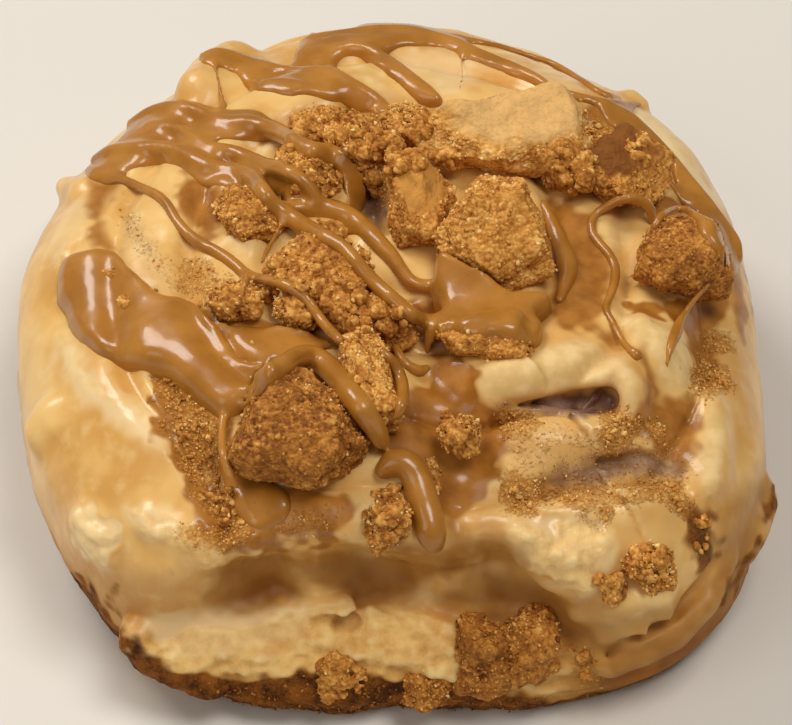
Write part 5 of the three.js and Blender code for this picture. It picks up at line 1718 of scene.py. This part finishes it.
def heapField():
    # Each lump is a short strand, thick at one end
    drawn = np.random.default_rng(heapLumps["seed"])
    grid = gridOf(heapLumps)
    field = np.full(grid[2], farAway, np.float32)
    thick, thin = heapLumps["radii"]
    for heap in heaps:
        corners = np.array(heap["outline"], float)
        tries = (heapLumps["tries"] * heap["count"], 2)
        spots = drawn.uniform(corners.min(axis=0), corners.max(axis=0), tries)
        inside = polygonDistance(spots[:, 0], spots[:, 1], heap["outline"]) < 0
        spots = spots[inside][:heap["count"]]
        for place in placesOn(spots, ground.at) - heap["rise"] * sightForward:
            size = mixed(*heap["sizes"], drawn.random() ** 2)
            way = drawn.normal(size=3)
            way *= heapLumps["half"] * size / np.linalg.norm(way)
            ends = np.array([[*(place - way), thick * size], [*(place + way), thin * size]])
            block, nearest = strandField(grid, ends)
            field[block] = smoothMin(field[block], nearest, heapLumps["blend"])
    return field


print("heaps")
heapPoints, heapQuads = surfaceOfField(heapField(), heapLumps["low"], heapLumps["step"])
heapPoints, heapShade = crumbly(heapPoints, heapQuads, **heapCrumb)
print("heap points", len(heapPoints))
crumbObject("biscuit_heaps", heapPoints, heapQuads, heapShade)
addBroken(heapPoints, heapQuads, 1, heapShade)

# The dough holds grains where it is dusted and on the brown torn front, but none at the floor
crumbsOnDough = {"brownShare": 0.4, "lowest": 0.8, "brownFrom": 0.4, "tones": {"brown": 0.22, "glazed": 0.6}}
print("crumbs")
torn = tornShare(np.arctan2(points[:, 1], points[:, 0]))
dustedShare = np.maximum(doughCoats["dusted"], crumbsOnDough["brownShare"] * doughCoats["brown"] * torn)
dustedShare = np.where(points[:, 2] < crumbsOnDough["lowest"], 0, dustedShare)
onBrown = doughCoats["brown"] > crumbsOnDough["brownFrom"]
doughTone = np.where(onBrown, crumbsOnDough["tones"]["brown"], crumbsOnDough["tones"]["glazed"])
for kind in grainKinds[:2]:
    scatteredGrains(kind, points, doughNormals, dustedShare, doughTone)
scatteredGrains(grainKinds[2], *map(np.concatenate, zip(*brokenSurfaces)))


# Camera, floor and light
def aimAt(piece, target):
    piece.rotation_euler = (Vector(target) - piece.location).to_track_quat("-Z", "Y").to_euler()


camera = bpy.data.objects.new("camera", bpy.data.cameras.new("camera"))
bpy.context.scene.collection.objects.link(camera)
camera.data.sensor_width = look["sensor"]
camera.data.lens = look["lens"]
camera.location = Vector(cameraPlace) * millimetre
aimAt(camera, Vector(look["target"]) * millimetre)
bpy.context.scene.camera = camera

studio = {
    "floorHalf": 2000,
    "floorColours": ((0.75, 0.72, 0.67), (0.77, 0.74, 0.69)),
    "floorRoughness": 0.8,
    "roomColour": (1, 0.89, 0.74),
    "roomLight": 0.2,
    "aim": (0, 0, 20),
}


def floorFinish():
    graph = Graph("studio_floor")
    shades = graph.mix(graph.noise(60, 2), *studio["floorColours"])
    return graph.finish(Base_Color=shades, Roughness=studio["floorRoughness"])


half = studio["floorHalf"]
floorCorners = [(-half, -half, 0), (half, -half, 0), (half, half, 0), (-half, half, 0)]
floor = meshObject("floor", floorCorners, [(0, 1, 2, 3)])
floor.data.materials.append(floorFinish())
world = bpy.data.worlds.new("studio")
bpy.context.scene.world = world
world.use_nodes = True
room = world.node_tree.nodes["Background"].inputs
room["Color"].default_value = colour(studio["roomColour"])
room["Strength"].default_value = studio["roomLight"]
bpy.context.scene.view_settings.view_transform = "Standard"

# Lamps: places and sizes in millimetres, power in watts
lamps = (
    {"name": "key", "at": (-380, 330, 620), "size": 300, "power": 3.1, "colour": (1, 0.97, 0.92)},
    {"name": "fill_left", "at": (-420, -420, 520), "size": 420, "power": 1.1, "colour": (1, 0.97, 0.92)},
    {"name": "overhead", "at": (220, -160, 780), "size": 300, "power": 2.9, "colour": (1, 0.97, 0.92)},
)
for lamp in lamps:
    light = bpy.data.lights.new(lamp["name"], "AREA")
    light.size = lamp["size"] * millimetre
    light.energy = lamp["power"]
    light.color = lamp["colour"]
    holder = bpy.data.objects.new(lamp["name"], light)
    bpy.context.scene.collection.objects.link(holder)
    holder.location = Vector(lamp["at"]) * millimetre
    aimAt(holder, Vector(studio["aim"]) * millimetre)
